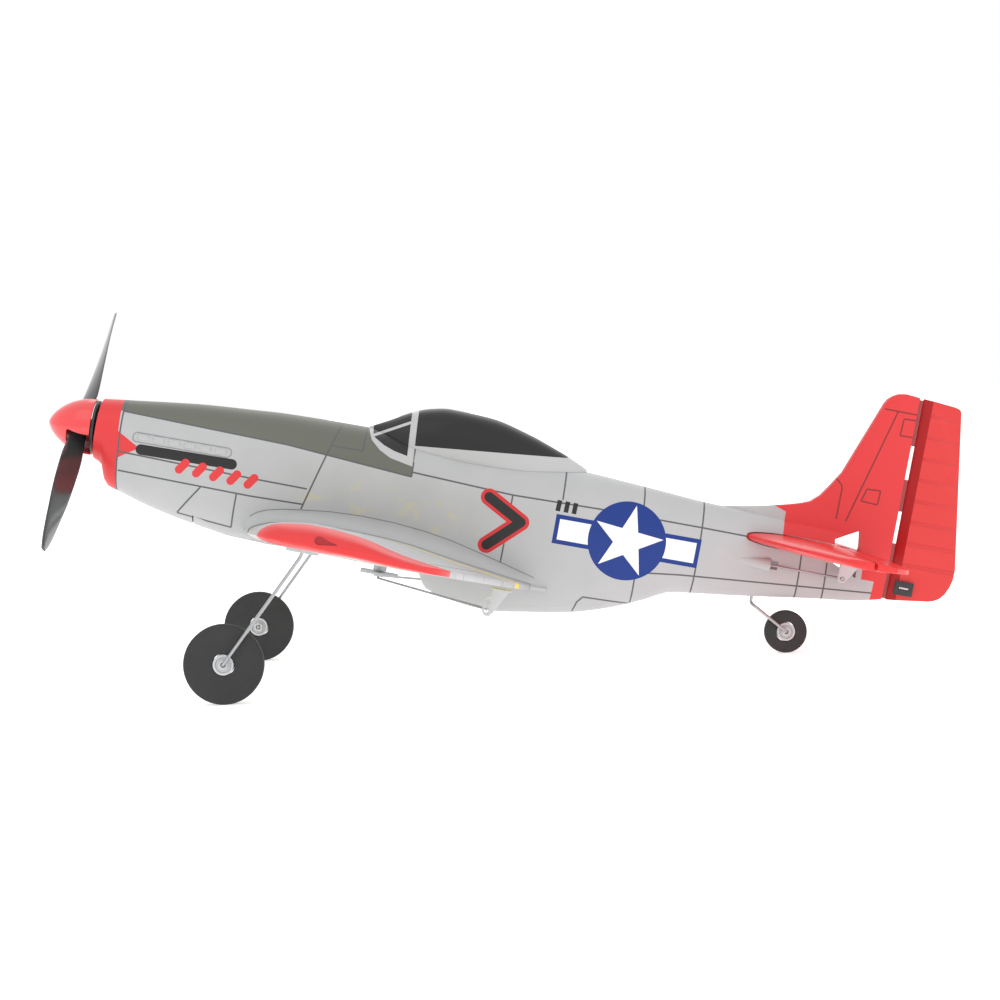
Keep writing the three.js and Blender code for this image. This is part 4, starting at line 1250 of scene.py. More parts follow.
@dataclass
class Wing:
    """Two wing panels with a lens section, and their ailerons."""

    lead: tuple[float, float, float, float] = (62.3, -26.6, 0.1067, 0.0787)
    trail: tuple[float, float, float, float] = (164.7, -28.0, -0.1776, 0.0815)
    root: float = 22.0
    tip: float = 200.0
    edge_half: float = 0.9
    hinge: tuple[float, float, float, float] = (46.0, 150.0, 178.0, 129.7)
    aileron_gap: float = 0.6
    rear: float = 94.0
    rounded_from: float = 190.0
    nose_round: float = 12.0
    tip_thinning: float = 0.62

    def edge(self, which: tuple[float, float, float, float], y: float) -> Flat:
        """Side-view place of the leading or trailing edge at a distance from the centre."""
        x, z, sweep, rise = which
        return x + (y - self.root) * sweep, z + (max(y, self.root) - self.root) * rise

    def section(self, side: Side, y: float, grow: float, trim: float = 0.0,
                thin: float = 1.0) -> Ring:
        """One ring of the wing's skin.

        Args:
            side: Which wing.
            y: Distance from the centre.
            grow: How far the ring stands outside the wing.
            trim: How far the leading edge is pulled in where the tip is rounded.
            thin: How much of the thickness is kept.

        Returns:
            The ring's points.
        """
        (lx, lz), (tx, tz) = self.edge(self.lead, y), self.edge(self.trail, y)
        start = lx + trim - 2 * grow
        chord = tx - trim * 0.6 + grow - start
        upper, lower = [], []
        share = min(max(y - self.root, 0) / (self.tip - self.root), 1)
        for k in range(25):
            f = (1 - math.cos(math.pi * k / 24)) / 2
            inner, outer = (glide(rows, max(f, 0.03)) for rows in (WING_SECTION, TIP_SECTION))
            nose = math.sqrt(min(f / 0.03, 1.0))
            rise, fall = (nose * (a + (b - a) * share) for a, b in zip(inner[1:], outer[1:]))
            pad = self.edge_half * f + grow
            base = lz + (tz - lz) * f
            upper.append(Vector((start + chord * f, side.value * y,
                                 base + rise * chord * thin + pad * min(thin + 0.3, 1))))
            lower.append(Vector((start + chord * f, side.value * y,
                                 base + fall * chord * thin - pad * min(thin + 0.3, 1))))
        inner = lower[1:] if not grow else lower
        return upper + inner[::-1]

    def shape(self, side: Side, grow: float = 0.0, start: float = GAP / 2) -> bpy.types.Object:
        """The whole wing on one side, aileron included.

        Args:
            side: Which wing.
            grow: How far it stands outside the wing.
            start: Distance of its inner end from the centre.

        Returns:
            The closed wing.
        """
        rings = [self.section(side, y, grow) for y in
                 [start, self.root, *steps(30, self.rounded_from, 20)]]
        for t in (0.3, 0.6, 0.8, 0.92, 1.0):
            y = self.rounded_from + (self.tip + grow - self.rounded_from) * t
            round_off = 1 - math.sqrt(max(0.0, 1 - t * t))
            rings.append(self.section(side, y, grow, self.nose_round * round_off,
                                      1 - self.tip_thinning * round_off))
        return Bench.loft(rings)

    def hinge_x(self, y: float) -> float:
        """The aileron's hinge line."""
        y0, x0, y1, x1 = self.hinge
        return x0 + (x1 - x0) * (y - y0) / (y1 - y0)

    def prism(self, side: Side, inner: float, outer: float, set_back: float) -> bpy.types.Object:
        """Everything aft of the hinge line between two distances from the centre.

        Args:
            side: Which wing.
            inner: The nearer distance.
            outer: The farther distance.
            set_back: How far aft of the hinge line it starts.

        Returns:
            The prism.
        """
        s = side.value
        outline = [
            (self.hinge_x(inner) + set_back, s * inner, -60),
            (self.hinge_x(outer) + set_back, s * outer, -60),
            (self.hinge_x(outer) + 30, s * outer, -60),
            (self.hinge_x(inner) + 30, s * inner, -60),
        ]
        return Bench.plate(outline, (0, 0, 80))

    def build(self, shop: Shop) -> None:
        """Models, dresses and fits both panels and both ailerons.

        Args:
            shop: The shop that dresses and fits the pieces.
        """
        for side in Side:
            word, s = side.word, side.value
            y0, _, y1, _ = self.hinge
            mount = sorted((s * (58.5 - GAP), s * (67.5 + GAP)))
            servo = Bench.crate((106.2, 115.2), (-7.4, 15), (-40, 0))
            panel = Bench.carve(
                self.shape(side),
                self.prism(side, y0 - 0.5, y1 + 0.5, -self.aileron_gap),
                Bench.crate((40, self.rear), (-10.2, 10.2), (-40, 0)),
                servo,
                Bench.bar((101.5, -56.4, -23.6), (101.5, 56.4, -23.6), 1.4),
                Bench.crate((79.7, 91.3), (mount[0], mount[1]), (-27.6, -22.1)),
                self.lamp(side),
            )
            Bench.soften(panel, 0.25, 2, 60)
            shop.fit(panel, f"{word}_wing_skin", Palette.WING, "airframe", f"wing_{word}_panel")
            flap = Bench.carve(
                self.shape(side), self.prism(side, y0, y1, self.aileron_gap), how="INTERSECT"
            )
            Bench.soften(flap, 0.22, 2, 50)
            shop.fit(flap, f"{word}_aileron_skin", Palette.WING, f"{word}_aileron_surface",
                     f"{word}_aileron")
            shop.refine(f"{word}_aileron_hinge", Palette.SILVER_FOAM, 0)
            shop.refine(f"{word}_aileron_horn", Palette.GREY)

    def lamp(self, side: Side) -> bpy.types.Object:
        """The teardrop hollow for a lamp in the wing's tip.

        Args:
            side: Which wing.

        Returns:
            The shape to cut away.
        """
        s = side.value
        outline = [(96.9, -11.2), (97.6, -10.0), (99.0, -9.8), (103.4, -11.2), (99.0, -12.0),
                   (97.6, -12.0)]
        return Bench.plate([(x, s * 199.6, z) for x, z in outline], (0, s * 3, 0))


@dataclass
class Fuselage:
    """Two moulded halves with the fin, the hollows and the wing's root fillets."""

    front: float = 0.0
    fin_rear: float = 296.2
    bay: tuple[float, float, float, float] = (40.0, 94.0, 9.2, -13.5)
    pin: Flat = (38.0, -26.6)
    downthrust: float = 2.9
    gear_centres: float = 9.0
    seam: float = 0.08

    def skin(self, grow: float = 0.0) -> bpy.types.Object:
        """The rounded body alone.

        Args:
            grow: How far it stands outside the table.

        Returns:
            The closed body.
        """
        marks = [*steps(0, 10.2, 1.7), *steps(14, 118, 4), *steps(121, 131, 1.25),
                 *steps(134, 292, 4), self.fin_rear]
        return Bench.loft([round_ring(glide(FUSELAGE, x), grow) for x in marks])

    def fin(self) -> bpy.types.Object:
        """The fin, wedge-nosed in plan and rounded along its edges.

        Returns:
            The fin, closed at its foot.
        """
        outline = [
            (232, 10), (232, 13.5), (237.9, 14.5), (242.4, 15.3), (246.8, 16.2), (251.4, 17.3),
            (255.8, 18.4), (260.2, 19.7), (263.4, 21.0), (266.6, 23.9), (269.5, 28.1),
            (273, 33.6), (283.6, 61.6), (284.6, 63.4),
            (286.4, 65.0), (288.4, 66.0), (290.8, 66.4), (self.fin_rear, 65.9),
            (self.fin_rear, 0), (255, 0),
        ]
        half = 2.2
        blade = Bench.plate([(x, -half, z) for x, z in outline], (0, 2 * half, 0))
        wedge = [(226, 0), (256, half), (self.fin_rear + 1, half), (self.fin_rear + 1, -half),
                 (256, -half)]
        nose = Bench.plate([(x, y, -20) for x, y in wedge], (0, 0, 95))
        Bench.carve(blade, nose, how="INTERSECT")
        return Bench.soften(blade, 1.1, 3, 50)

    def fillet(self, side: Side) -> bpy.types.Object:
        """The hollow-faced fairing between the fuselage and the wing.

        Args:
            side: Which wing it meets.

        Returns:
            The closed fairing.
        """
        tops = [(60.0, -22.6), (62.5, -20.4), (66.7, -17.7), (79.2, -15.3), (101.3, -13.5),
                (124.4, -14.8), (143.9, -18.6), (160, -23.0), (168, -25.4), (172, -26.6)]
        wing = Wing()
        rings = []
        for x, top in ((x, glide(tops, x)[1]) for x in steps(60, 172, 3.5)):
            (lx, lz), (tx, tz) = wing.edge(wing.lead, 24), wing.edge(wing.trail, 24)
            f = min(max((x - lx) / (tx - lx), 0.0), 1.0)
            low = lz + (tz - lz) * f + glide(WING_SECTION, f)[1] * (tx - lx) + 0.6
            low = min(low, top - 0.5) - 0.55
            wall = skin_y(x, top) - 0.2
            spread = min(5.5, 0.75 * (top - low) + 1.0)
            foot = skin_y(x, low) + spread
            curve = [
                (wall + (foot - wall) * t ** 2.4, top + (low - top) * t ** 0.62)
                for t in steps(0, 1, 0.125)
            ]
            ring = [(wall - 4, top), *curve, (foot, low - 1.2), (wall - 4, low - 1.2)]
            rings.append([Vector((x, side.value * y, z)) for y, z in ring])
        return Bench.loft(rings)

    def thrust_bar(self, x0: float, x1: float, drop: float, radius: float) -> bpy.types.Object:
        """A hollow that follows the thrust line, or runs below it.

        Args:
            x0: Where it starts.
            x1: Where it ends.
            drop: How far below the thrust line it runs.
            radius: Its radius.

        Returns:
            The shape to cut away.
        """
        turn = Matrix.Rotation(-math.radians(self.downthrust), 3, "Y")
        ends = [tuple(turn @ Vector((x, 0, -drop))) for x in (x0, x1)]
        return Bench.bar(ends[0], ends[1], radius)

    def hollows(self) -> list[bpy.types.Object]:
        """The spaces for the motor, battery, receiver, servos and rods.

        Returns:
            The shapes to cut away.
        """
        front, rear, half, roof = self.bay
        px, pz = self.pin
        wing = Wing()
        slot = [(274.6, 8.8), (283.6, 13.6), (284.6, 8), (284.6, -4), (275.2, 0)]
        return [
            self.thrust_bar(-1, 21.5, 0, 9.5),
            self.thrust_bar(5.9, 42, self.gear_centres, 5.5),
            Bench.crate((front, rear), (-half, half), (-45, roof)),
            Bench.crate((px - 1.7, front + 1), (-2.6, 2.6), (-44, pz + 1.7)),
            Bench.crate((front - 0.6, front + 0.1), (-5.2, 5.2), (-43, pz - 0.8)),
            Bench.bar((px, -5, pz), (px, 5, pz), 0.8),
            Bench.crate((98, 150), (-10, 10), (-25, 9)),
            Bench.crate((106.2, 115.2), (-5.2, 12.6), (-26, -15.8)),
            Bench.crate((149, 173.4), (-8.6, 11.2), (-9, 8.9)),
            Bench.crate((172, 197), (-7.6, 7.6), (-24, 6)),
            Bench.crate((180, 199), (-8, 11.4), (-7.2, -1.4)),
            Bench.crate((196, 240), (-7.2, -5), (-7.2, -2.4)),
            Bench.bar((239, -6.3, -4.45), (255, -6.6, -4.7), 1.15, 1.7),
            Bench.crate((198, 240), (7.9, 10.1), (-3.8, -2.0)),
            Bench.bar((248.5, 0, -26), (248.5, 0, -9.4), 0.9),
            Bench.plate([(x, -12, z) for x, z in slot], (0, 24, 0)),
            Tail().plane(GAP),
            wing.shape(Side.RIGHT, self.seam, 0),
            wing.shape(Side.LEFT, self.seam, 0),
            Bench.crate((rear, 123), (-30, 30), (-50, -28.9)),
            Bench.bar((2, 0, -16.3), (12, 0, -15), 3.4, 1.5),
        ]

    def build(self, shop: Shop) -> None:
        """Models the two halves from one carved skin.

        Args:
            shop: The shop that dresses and fits the pieces.
        """
        body = Bench.carve(
            self.skin(), self.fin(), self.fillet(Side.LEFT), self.fillet(Side.RIGHT),
            Bench.bar((229, -6.3, -4.9), (252, -6.5, -4.9), 0.3, 2.6),
            Bench.bar((206, 9, -2.9), (229, 9.2, -2.9), 0.3, 2.5), how="UNION",
        )
        Bench.carve(body, *self.hollows())
        twin = Bench.copy(body)
        for half, side in ((body, Side.LEFT), (twin, Side.RIGHT)):
            Bench.half(half, side.value * GAP / 2, keep_low=side is Side.LEFT)
            shop.fit(half, f"fuselage_{side.word}_skin", Palette.FUSELAGE, "airframe",
                     f"fuselage_{side.word}_half", angle=32)
        for side in Side:
            self.stubs(shop, side)

    def stubs(self, shop: Shop, side: Side) -> None:
        """Six embossed exhaust stubs in a row.

        Args:
            shop: The shop that dresses and fits the pieces.
            side: Which side they are on.
        """
        first = None
        parts = []
        for k in range(6):
            x, z = 18.2 + 5.75 * k, 0.03 * k
            if first is None:
                first = Bench.crate((-2.2, 2.2), (-0.8, 0.8), (-1.25, 1.25))
                bpy.ops.object.mode_set(mode="EDIT")
                bpy.ops.mesh.select_all(action="SELECT")
                bpy.ops.mesh.bevel(offset=0.7, segments=4)
                bpy.ops.object.mode_set(mode="OBJECT")
            stub = Bench.copy(first)
            Bench.take(stub)
            bpy.ops.transform.translate(value=(x, side.value * (skin_y(x, z) - 0.35), z))
            bpy.ops.object.transform_apply(location=True, rotation=True, scale=True)
            parts.append(stub)
        bpy.data.objects.remove(first)
        shop.fit(Bench.join(*parts), f"{side.word}_exhaust_stubs", Palette.SILVER_FOAM, "airframe")


@dataclass
class Canopy:
    """The bubble and windscreen in one gloss moulding."""

    base: float = 8.0

    def build(self, shop: Shop) -> None:
        """Models the bubble and cuts it to the deck it sits on.

        Args:
            shop: The shop that dresses and fits the pieces.
        """
        rings = []
        for x in [*steps(97.5, 126, 1.9), *steps(130, 179.5, 3.3)]:
            _, crown, half = glide(CANOPY, x)
            rings.append(round_ring((x, crown, self.base, half, self.base + 6)))
        body = Bench.carve(Bench.loft(rings), Fuselage().skin(Fuselage.seam))
        shop.fit(body, "canopy_bubble", Palette.CANOPY, "airframe", "canopy", angle=30)


@dataclass
class Tail:
    """The tailplane, elevator and rudder."""

    level: float = 4.3
    rear: float = 276.0
    front: float = 277.2
    rudder_front: float = 297.8
    fin_rear: float = 296.2
    ribs: tuple[float, float, float] = (4.0, 60.0, 8.0)

    def plane_ring(self, y: float, lead: float, half: float, grow: float) -> Ring:
        """One ring of the tailplane.

        Args:
            y: Distance from the centre.
            lead: Place of the leading edge.
            half: Half the thickness.
            grow: How far the ring stands outside.

        Returns:
            The ring's points.
        """
        start = lead - grow
        chord = self.rear + grow - start
        curve = [(0, 0.2), (0.03, 0.44), (0.08, 0.6), (0.15, 0.75), (0.28, 0.92), (0.45, 1),
                 (0.7, 0.95), (1, 0.86)]
        top = [Vector((start + chord * f, y, self.level + half * t + grow)) for f, t in curve]
        low = [Vector((start + chord * f, y, self.level - half * t - grow)) for f, t in curve]
        return top + low[::-1]

    def plane(self, grow: float = 0.0) -> bpy.types.Object:
        """The tailplane in one piece across the fuselage.

        Args:
            grow: How far it stands outside the tailplane.

        Returns:
            The closed tailplane.
        """
        table = [(0, 240, 2.6), (8, 242.2, 2.6), (66, 265, 1.9), (72, 268.5, 1.7), (75, 273, 1.4)]
        marks = [*steps(8, 64, 8), 67, 70, 72, 73.5, 75]
        rows = [glide(table, y) for y in marks]
        port = [self.plane_ring(-y, lead, half, grow) for y, lead, half in reversed(rows)]
        middle = self.plane_ring(0, 240, 2.6, grow)
        return Bench.loft([*port, middle, *[self.plane_ring(*row, grow) for row in rows]])

    def elevator(self) -> bpy.types.Object:
        """Both elevator halves and the bar that joins them.

        Returns:
            The elevator in one piece.
        """
        table = [(7, 291, 2.1), (13, 292.6, 2.1), (68, 289.4, 1.6), (75, 284, 1.2)]
        thin, parts = 0.8, []
        for side in Side:
            rings = []
            for y in [7, 8.5, 10.5, 13, *steps(20, 62, 7), 66, 69, 72, 74, 75]:
                _, trail, half = glide(table, y)
                rings.append([
                    Vector((self.front, side.value * y, self.level + half)),
                    Vector((self.front + 3, side.value * y, self.level + half)),
                    Vector((trail, side.value * y, self.level + thin)),
                    Vector((trail, side.value * y, self.level - thin)),
                    Vector((self.front + 3, side.value * y, self.level - half)),
                    Vector((self.front, side.value * y, self.level - half)),
                ])
            parts.append(Bench.loft(rings))
        bar = Bench.crate((277.6, 283.2), (-8, 8), (self.level - 1.5, self.level + 1.5))
        return Bench.soften(Bench.carve(parts[0], parts[1], bar, how="UNION"), 0.35, 3, 40)

    def rudder(self) -> bpy.types.Object:
        """The rudder: a wedge with a chamfered front and raised ribs.

        Returns:
            The rudder.
        """
        outline = [
            (self.rudder_front, 65.9), (309.5, 64.9), (311.3, 64.5), (312.1, 63.9), (312.4, 63.1),
            (321.36, 5.3), (321.26, 1.6), (320.5, -1.4), (319.2, -4.2), (317.5, -6.2),
            (315.6, -7.3), (313.6, -7.9), (self.rudder_front, -10),
        ]
        blade = Bench.plate([(x, -3, z) for x, z in outline], (0, 6, 0))
        front = self.rudder_front
        taper = [(front, 0.5), (front, -0.5), (front + 3.4, -2.15), (322, -0.8), (322, 0.8),
                 (front + 3.4, 2.15)]
        wedge = Bench.plate([(x, y, -20) for x, y in taper], (0, 0, 95))
        Bench.carve(blade, wedge, how="INTERSECT")
        Bench.soften(blade, 0.3, 2, 30)
        ribs = []
        for z in steps(*self.ribs):
            reach = 320.6 - (z - 5) * 0.155
            y0, y1 = 2.42, 1.2
            outline = [(front + 3.6, y0), (reach, y1), (reach, -y1), (front + 3.6, -y0)]
            rib = Bench.plate([(x, y, z - 0.45) for x, y in outline], (0, 0, 0.9))
            ribs.append(Bench.soften(rib, 0.2, 2, 40))
        return Bench.carve(blade, *ribs, how="UNION")

    def build(self, shop: Shop) -> None:
        """Models, dresses and fits the tail surfaces and their fittings.

        Args:
            shop: The shop that dresses and fits the pieces.
        """
        plane = Bench.soften(self.plane(), 0.3, 2, 55)
        shop.fit(plane, "tailplane_skin", Palette.RED_FOAM, "airframe", "horizontal_stabilizer")
        shop.fit(self.elevator(), "elevator_skin", Palette.RED_FOAM, "elevator_surface", "elevator")
        shop.fit(self.rudder(), "rudder_skin", Palette.RUDDER, "rudder_surface", "rudder",
                 angle=25)
        # The rudder web and elevator hinges are coloured darker than the skin as painted shade in
        # the hinge gaps.
        shop.fit(self.web(), "rudder_hinge_web", Palette.HINGE, "airframe", "rudder_hinge")
        for node in ("left_elevator_hinge", "right_elevator_hinge"):
            shop.refine(node, Palette.HINGE, 0)
        for node in ("elevator_horn", "rudder_horn"):
            shop.refine(node, Palette.GREY)
        shop.refine("rudder_horn_backplate", Palette.BLACK_PLASTIC)
        tab = Bench.soften(Bench.crate((301.3, 304.9), (-3.4, -2.5), (-4.95, -4.3)), 0.1)
        shop.fit(tab, "rudder_horn_tab", Palette.GREY, "rudder_surface")

    def web(self) -> bpy.types.Object:
        """The thin foam web that the rudder bends on, with its two windows.

        Returns:
            The web.
        """
        front, rear = self.fin_rear + 0.02, self.rudder_front - 0.06
        web = Bench.crate((front, rear), (-0.25, 0.25), (-9.6, 65.2))
        windows = [Bench.crate((front - 1, rear + 1), (-1, 1), span)
                   for span in ((11.2, 23.2), (35.2, 47.9))]
        return Bench.carve(web, *windows)


@dataclass
class Gear:
    """Wire legs, foam wheels and the tail wheel."""

    main_axle: Point = (65.7, 60.8, -69.2)
    tail_axle: Point = (263.4, 0.0, -28.4)
    wire: float = 0.6

    def wheel(self, shop: Shop, name: str, axle: Point, radius: float, width: float,
              hub: float, tyre: str, hub_node: str) -> None:
        """Models one wheel: a foam tyre and its nylon hub.

        Args:
            shop: The shop to fit it with.
            name: The wheel's name and CAD body.
            axle: The wheel's centre.
            radius: The tyre's radius.
            width: The tyre's width.
            hub: The hub's radius.
            tyre: The CAD tyre node.
            hub_node: The CAD hub node.
        """
        half, bead = width / 2, 0.75
        corner = [
            (radius - bead + bead * math.sin(a), half - bead + bead * math.cos(a))
            for a in steps(0, math.pi / 2, math.pi / 8)
        ]
        face = [(hub + GAP, half), (hub + GAP + 1.0, half), (radius * 0.62, half - 0.02)]
        side = face + corner
        profile = side + [(r, -y) for r, y in reversed(side)]
        body = Bench.lathe(profile, axle, 96)
        shop.fit(body, name + "_tyre", Palette.TYRE, name, tyre, angle=50)
        rim, bore = width / 2 + 0.2, self.wire + GAP
        cup = [
            (bore, rim + 0.3), (1.5, rim + 0.3), (1.7, rim + 0.1), (1.75, rim - 0.55),
            (hub - 1.0, rim - 0.7), (hub - 0.75, rim), (hub - 0.1, rim), (hub, rim - 0.15),
        ]
        profile = cup + [(r, -y) for r, y in reversed(cup)]
        shop.fit(Bench.lathe(profile, axle, 48), name + "_hub", Palette.GREY, name, hub_node)

    def build(self, shop: Shop) -> None:
        """Models the wheels and their wires.

        Args:
            shop: The shop that dresses and fits the pieces.
        """
        x, y, z = self.main_axle
        for side in Side:
            s, word = side.value, side.word
            self.wheel(shop, f"{word}_wheel", (x, s * y, z), 13.75, 5, 3.6,
                       f"{word}_main_tyre", f"{word}_main_hub")
            leg = Bench.wire(
                [(85.3, s * 63, -23.6), (85.3, s * 63, -27.6), (x, s * 65.6, z), (x, s * 56.4, z)],
                self.wire,
            )
            shop.fit(leg, f"{word}_gear_wire", Palette.STEEL, "airframe", f"{word}_gear_leg",
                     angle=60)
            shop.refine(f"{word}_gear_mount", Palette.GREY, 0.3)
            shop.refine(f"{word}_wheel_collar", Palette.GREY, 0.2)
        x, _, z = self.tail_axle
        self.wheel(shop, "tail_wheel", self.tail_axle, 7.9, 3.4, 3.4, "tail_tyre", "tail_hub")
        wire = Bench.wire(
            [(248.5, 0, -9.8), (248.6, 0, -20.3), (250.5, -3.3, -21.3), (x, -3.3, z), (x, 2.9, z)],
            self.wire,
        )
        shop.fit(wire, "tail_gear_spring", Palette.STEEL, "airframe", "tail_gear_wire", angle=60)


@dataclass
class Drive:
    """Spinner, propeller and the geared motor behind them."""

    downthrust: float = 2.9
    rest_angle: float = -45.5
    pitch: float = 100.0
    centre: float = -7.0
    radius: float = 10.45
    tip: float = -18.94
    base: float = -2.2

    def aim(self, body: bpy.types.Object, turned: bool = True) -> bpy.types.Object:
        """Turns a body drawn on the x axis to its rest angle and on to the thrust line.

        Args:
            body: The body, drawn along x.
            turned: Whether it has the rest angle too.

        Returns:
            The turned body.
        """
        Bench.take(body)
        about = Euler((math.radians(self.rest_angle if turned else 0), 0, 0)).to_matrix()
        down = Matrix.Rotation(-math.radians(self.downthrust), 3, "Y")
        body.matrix_world = (down @ about).to_4x4()
        bpy.ops.object.transform_apply(location=True, rotation=True, scale=True)
        return body

    def blade(self) -> bpy.types.Object:
        """One twisted blade along z.

        Returns:
            The closed blade.
        """
        rings = []
        for radius in steps(2, 61, 2.95):
            _, chord = glide(BLADE, radius)
            angle = math.atan(self.pitch / (2 * math.pi * max(radius, 14)))
            thick = 1.1 - 0.35 * min(max((radius - 10) / 10, 0), 1)
            ring = []
            for k in range(20):
                a = 2 * math.pi * k / 20
                along = 0.5 * math.cos(a)
                rise = (0.95 if math.sin(a) > 0 else 0.6) * math.sin(a) * (1 + 0.35 * along)
                c, t = along * chord, rise * thick * 0.9
                ring.append(Vector((
                    self.centre - c * math.sin(angle) - t * math.cos(angle),
                    c * math.cos(angle) - t * math.sin(angle), radius,
                )))
            rings.append(ring)
        return Bench.loft(rings)

    def propeller(self) -> bpy.types.Object:
        """Two blades and a boss.

        Returns:
            The propeller with its bore.
        """
        first = self.blade()
        second = Bench.copy(first)
        Bench.take(second)
        second.matrix_world = Matrix.Rotation(math.pi, 4, "X")
        bpy.ops.object.transform_apply(location=True, rotation=True, scale=True)
        c = self.centre
        boss = Bench.soften(Bench.bar((c - 2.8, 0, 0), (c + 2.8, 0, 0), 3.4), 0.4)
        body = Bench.carve(boss, first, second, how="UNION")
        return Bench.carve(body, Bench.bar((-20, 0, 0), (1, 0, 0), 1.8))

    def spinner(self) -> bpy.types.Object:
        """A hollow pointed cap with a cut-out each side for the blades.

        Returns:
            The spinner.
        """
        caps = []
        sides = 64
        for grow, start in ((0.0, self.base), (1.0, self.base + 0.1)):
            rings = []
            for t in (1.0, 0.985, 0.96, 0.9, 0.82, 0.72, 0.6, 0.48, 0.36, 0.25, 0.15, 0.07, 0.02):
                reach = (self.radius - grow) * math.sin(math.pi / 2 * t) ** 0.86
                back = (self.base - self.tip - grow * 1.6) * (1 - t ** 1.35)
                rings.append([
                    Vector((start - back, reach * math.cos(a), reach * math.sin(a)))
                    for a in steps(0, 2 * math.pi * (sides - 1) / sides, 2 * math.pi / sides)
                ])
            caps.append(Bench.loft(rings))
        slot = Bench.crate((self.centre - 3.9, self.base + 1), (-5, 5), (-12, 12))
        Bench.soften(slot, 1.0, 3)
        return Bench.soften(Bench.carve(caps[0], caps[1], slot), 0.12, 2, 50)

    def build(self, shop: Shop) -> None:
        """Models what turns and refines what drives it.

        Args:
            shop: The shop that dresses and fits the pieces.
        """
        turns = "prop_and_spinner"
        shop.fit(self.aim(self.spinner()), "spinner_shell", Palette.SPINNER, turns, "spinner")
        shop.fit(self.aim(self.propeller()), "propeller_blades", Palette.BLADE, turns, "propeller")
        shop.refine("spinner_backplate", Palette.BLACK_PLASTIC)
        for node in ("prop_screw", "prop_shaft", "motor_shaft"):
            shop.refine(node, Palette.STEEL, 0.05)
        shop.refine("spur_gear", Palette.GREY, 0.04)
        for node in ("front_bush", "rear_bush", "motor_pinion"):
            shop.refine(node, Palette.BRASS, 0.04)
        shop.refine("motor_can", Palette.MOTOR, 0.4)
        shop.refine("gearbox_frame", Palette.BLACK_PLASTIC, 0.25)


@dataclass
class Controls:
    """Servos, arms, rods, battery, receiver and the belly door."""

    def build(self, shop: Shop) -> None:
        """Refines the fittings, which the frame already shapes.

        Args:
            shop: The shop that dresses and fits the pieces.
        """
        for node, finish, bevel in (
            ("aileron_servo", Palette.GREY, 0.25),
            ("aileron_servo_arm", Palette.GREY, 0.15),
            ("elevator_servo", Palette.SERVO, 0.25),
            ("elevator_servo_arm", Palette.GREY, 0.1),
            ("rudder_servo", Palette.SERVO, 0.25),
            ("rudder_servo_arm", Palette.GREY, 0.1),
            ("left_aileron_rod", Palette.STEEL, 0.0),
            ("right_aileron_rod", Palette.STEEL, 0.0),
            ("elevator_pushrod", Palette.STEEL, 0.0),
            ("rudder_pushrod", Palette.STEEL, 0.0),
            ("battery", Palette.CELL, 0.5),
            ("receiver_board", Palette.BOARD, 0.1),
            ("hatch_hinge_pin", Palette.STEEL, 0.05),
            ("wing_spar", Palette.CARBON, 0.05),
            ("battery_hatch", Palette.SILVER_FOAM, 0.15),
        ):
            shop.refine(node, finish, bevel, angle=50 if bevel == 0 else 38)


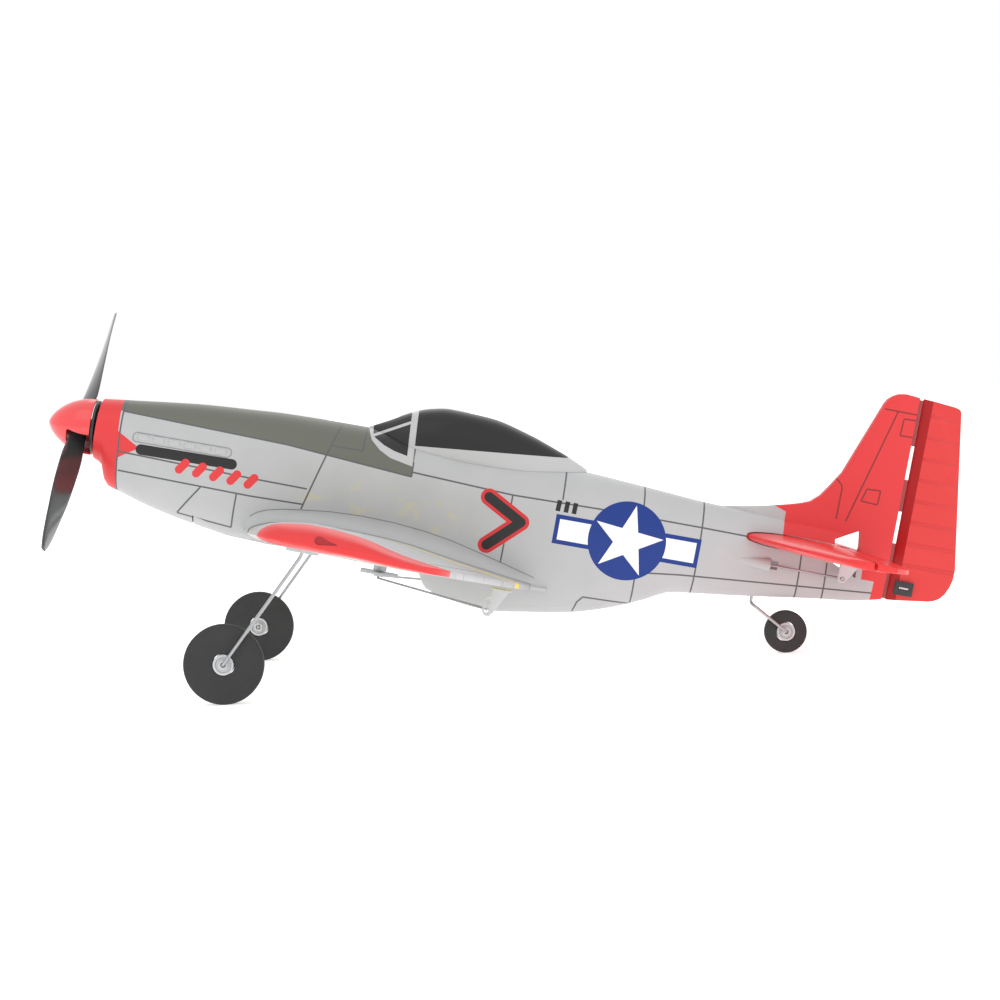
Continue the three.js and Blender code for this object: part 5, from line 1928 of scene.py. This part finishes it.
@dataclass
class Studio:
    """A pale floor, soft lights and the camera."""

    eye: Point = (131.0, -770.0, 33.6)
    focal: float = 2079.0
    frame: float = 1000.0
    sensor: float = 36.0
    vanish: Flat = (466.0, 403.0)
    tilt: float = 10.4
    ambient: float = 1.0
    glow: float = 0.5
    middle: float = 0.06

    def axes(self) -> tuple[Vector, Vector, Vector]:
        """The level frame's x, y and z axes as the camera sees them.

        Returns:
            Aft, away from the camera and up, in camera terms.
        """
        half = self.frame / 2
        away = Vector(((self.vanish[0] - half) / self.focal, (self.vanish[1] - half) / self.focal,
                       1)).normalized()
        slope = math.radians(self.tilt)
        aft = Vector((math.cos(slope), math.sin(slope), 0))
        aft.z = -aft.dot(away) / away.z
        aft.normalize()
        return aft, away, aft.cross(away)

    def camera(self, level: Level) -> None:
        """Adds the camera at the viewing angle.

        Args:
            level: The level frame.
        """
        aft, away, up = self.axes()
        seen = Matrix((aft, away, up))
        pose = (Matrix.Rotation(level.pitch, 3, "Y") @ seen)
        right, down, ahead = (pose.col[k] for k in range(3))
        data = bpy.data.cameras.new("camera")
        data.sensor_width = self.sensor
        data.lens = self.sensor * self.focal / self.frame
        item = bpy.data.objects.new("camera", data)
        turn = Matrix((right, -down, -ahead)).transposed()
        item.matrix_world = Matrix.Translation(level.at(self.eye)) @ turn.to_4x4()
        data.clip_end = 50
        bpy.context.scene.collection.objects.link(item)
        bpy.context.scene.camera = item

    def light(self, name: str, place: Point, size: float, power: float) -> None:
        """Adds one soft area light aimed at the model.

        Args:
            name: The light's name.
            place: Where it hangs, in metres.
            size: The length of its side.
            power: Its power in watts.
        """
        data = bpy.data.lights.new(name, "AREA")
        data.size, data.energy = size, power
        item = bpy.data.objects.new(name, data)
        item.location = place
        aim = Vector((0, 0, self.middle)) - Vector(place)
        item.rotation_euler = aim.to_track_quat("-Z", "Y").to_euler()
        bpy.context.scene.collection.objects.link(item)

    def build(self, level: Level) -> None:
        """Sets the floor, the lights, the world and the camera.

        Args:
            level: The level frame.
        """
        Bench.clear()
        bpy.ops.mesh.primitive_plane_add(size=40)
        floor = bpy.context.object
        floor.name = "studio_floor"
        paper = bpy.data.materials.new("seamless_paper")
        paper.use_nodes = True
        shader = paper.node_tree.nodes["Principled BSDF"]
        shader.inputs["Base Color"].default_value = linear("#f6f6f6")
        shader.inputs["Roughness"].default_value = 0.9
        shader.inputs["Emission Color"].default_value = (1, 1, 1, 1)
        shader.inputs["Emission Strength"].default_value = self.glow
        floor.data.materials.append(paper)
        world = bpy.data.worlds.new("studio")
        world.use_nodes = True
        world.node_tree.nodes["Background"].inputs[0].default_value = (1, 1, 1, 1)
        world.node_tree.nodes["Background"].inputs[1].default_value = self.ambient
        bpy.context.scene.world = world
        bpy.context.scene.view_settings.view_transform = "Standard"
        self.light("key", (-0.5, -1.1, 1.5), 1.4, 3)
        self.light("fill", (0.9, -1.2, 0.7), 1.4, 1)
        self.light("back", (0.2, 1.3, 1.2), 1.2, 3)
        self.camera(level)


def main() -> None:
    """Builds the airplane round the frame."""
    logging.basicConfig(level=logging.INFO, format="%(name)s %(message)s")
    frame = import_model()
    level = Level.from_wheels(frame["joints"])
    shop = Shop(frame, level)
    for part in (Fuselage(), Canopy(), Wing(), Tail(), Gear(), Drive(), Controls()):
        part.build(shop)
    Studio().build(level)
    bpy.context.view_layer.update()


if __name__ == "__main__":
    main()
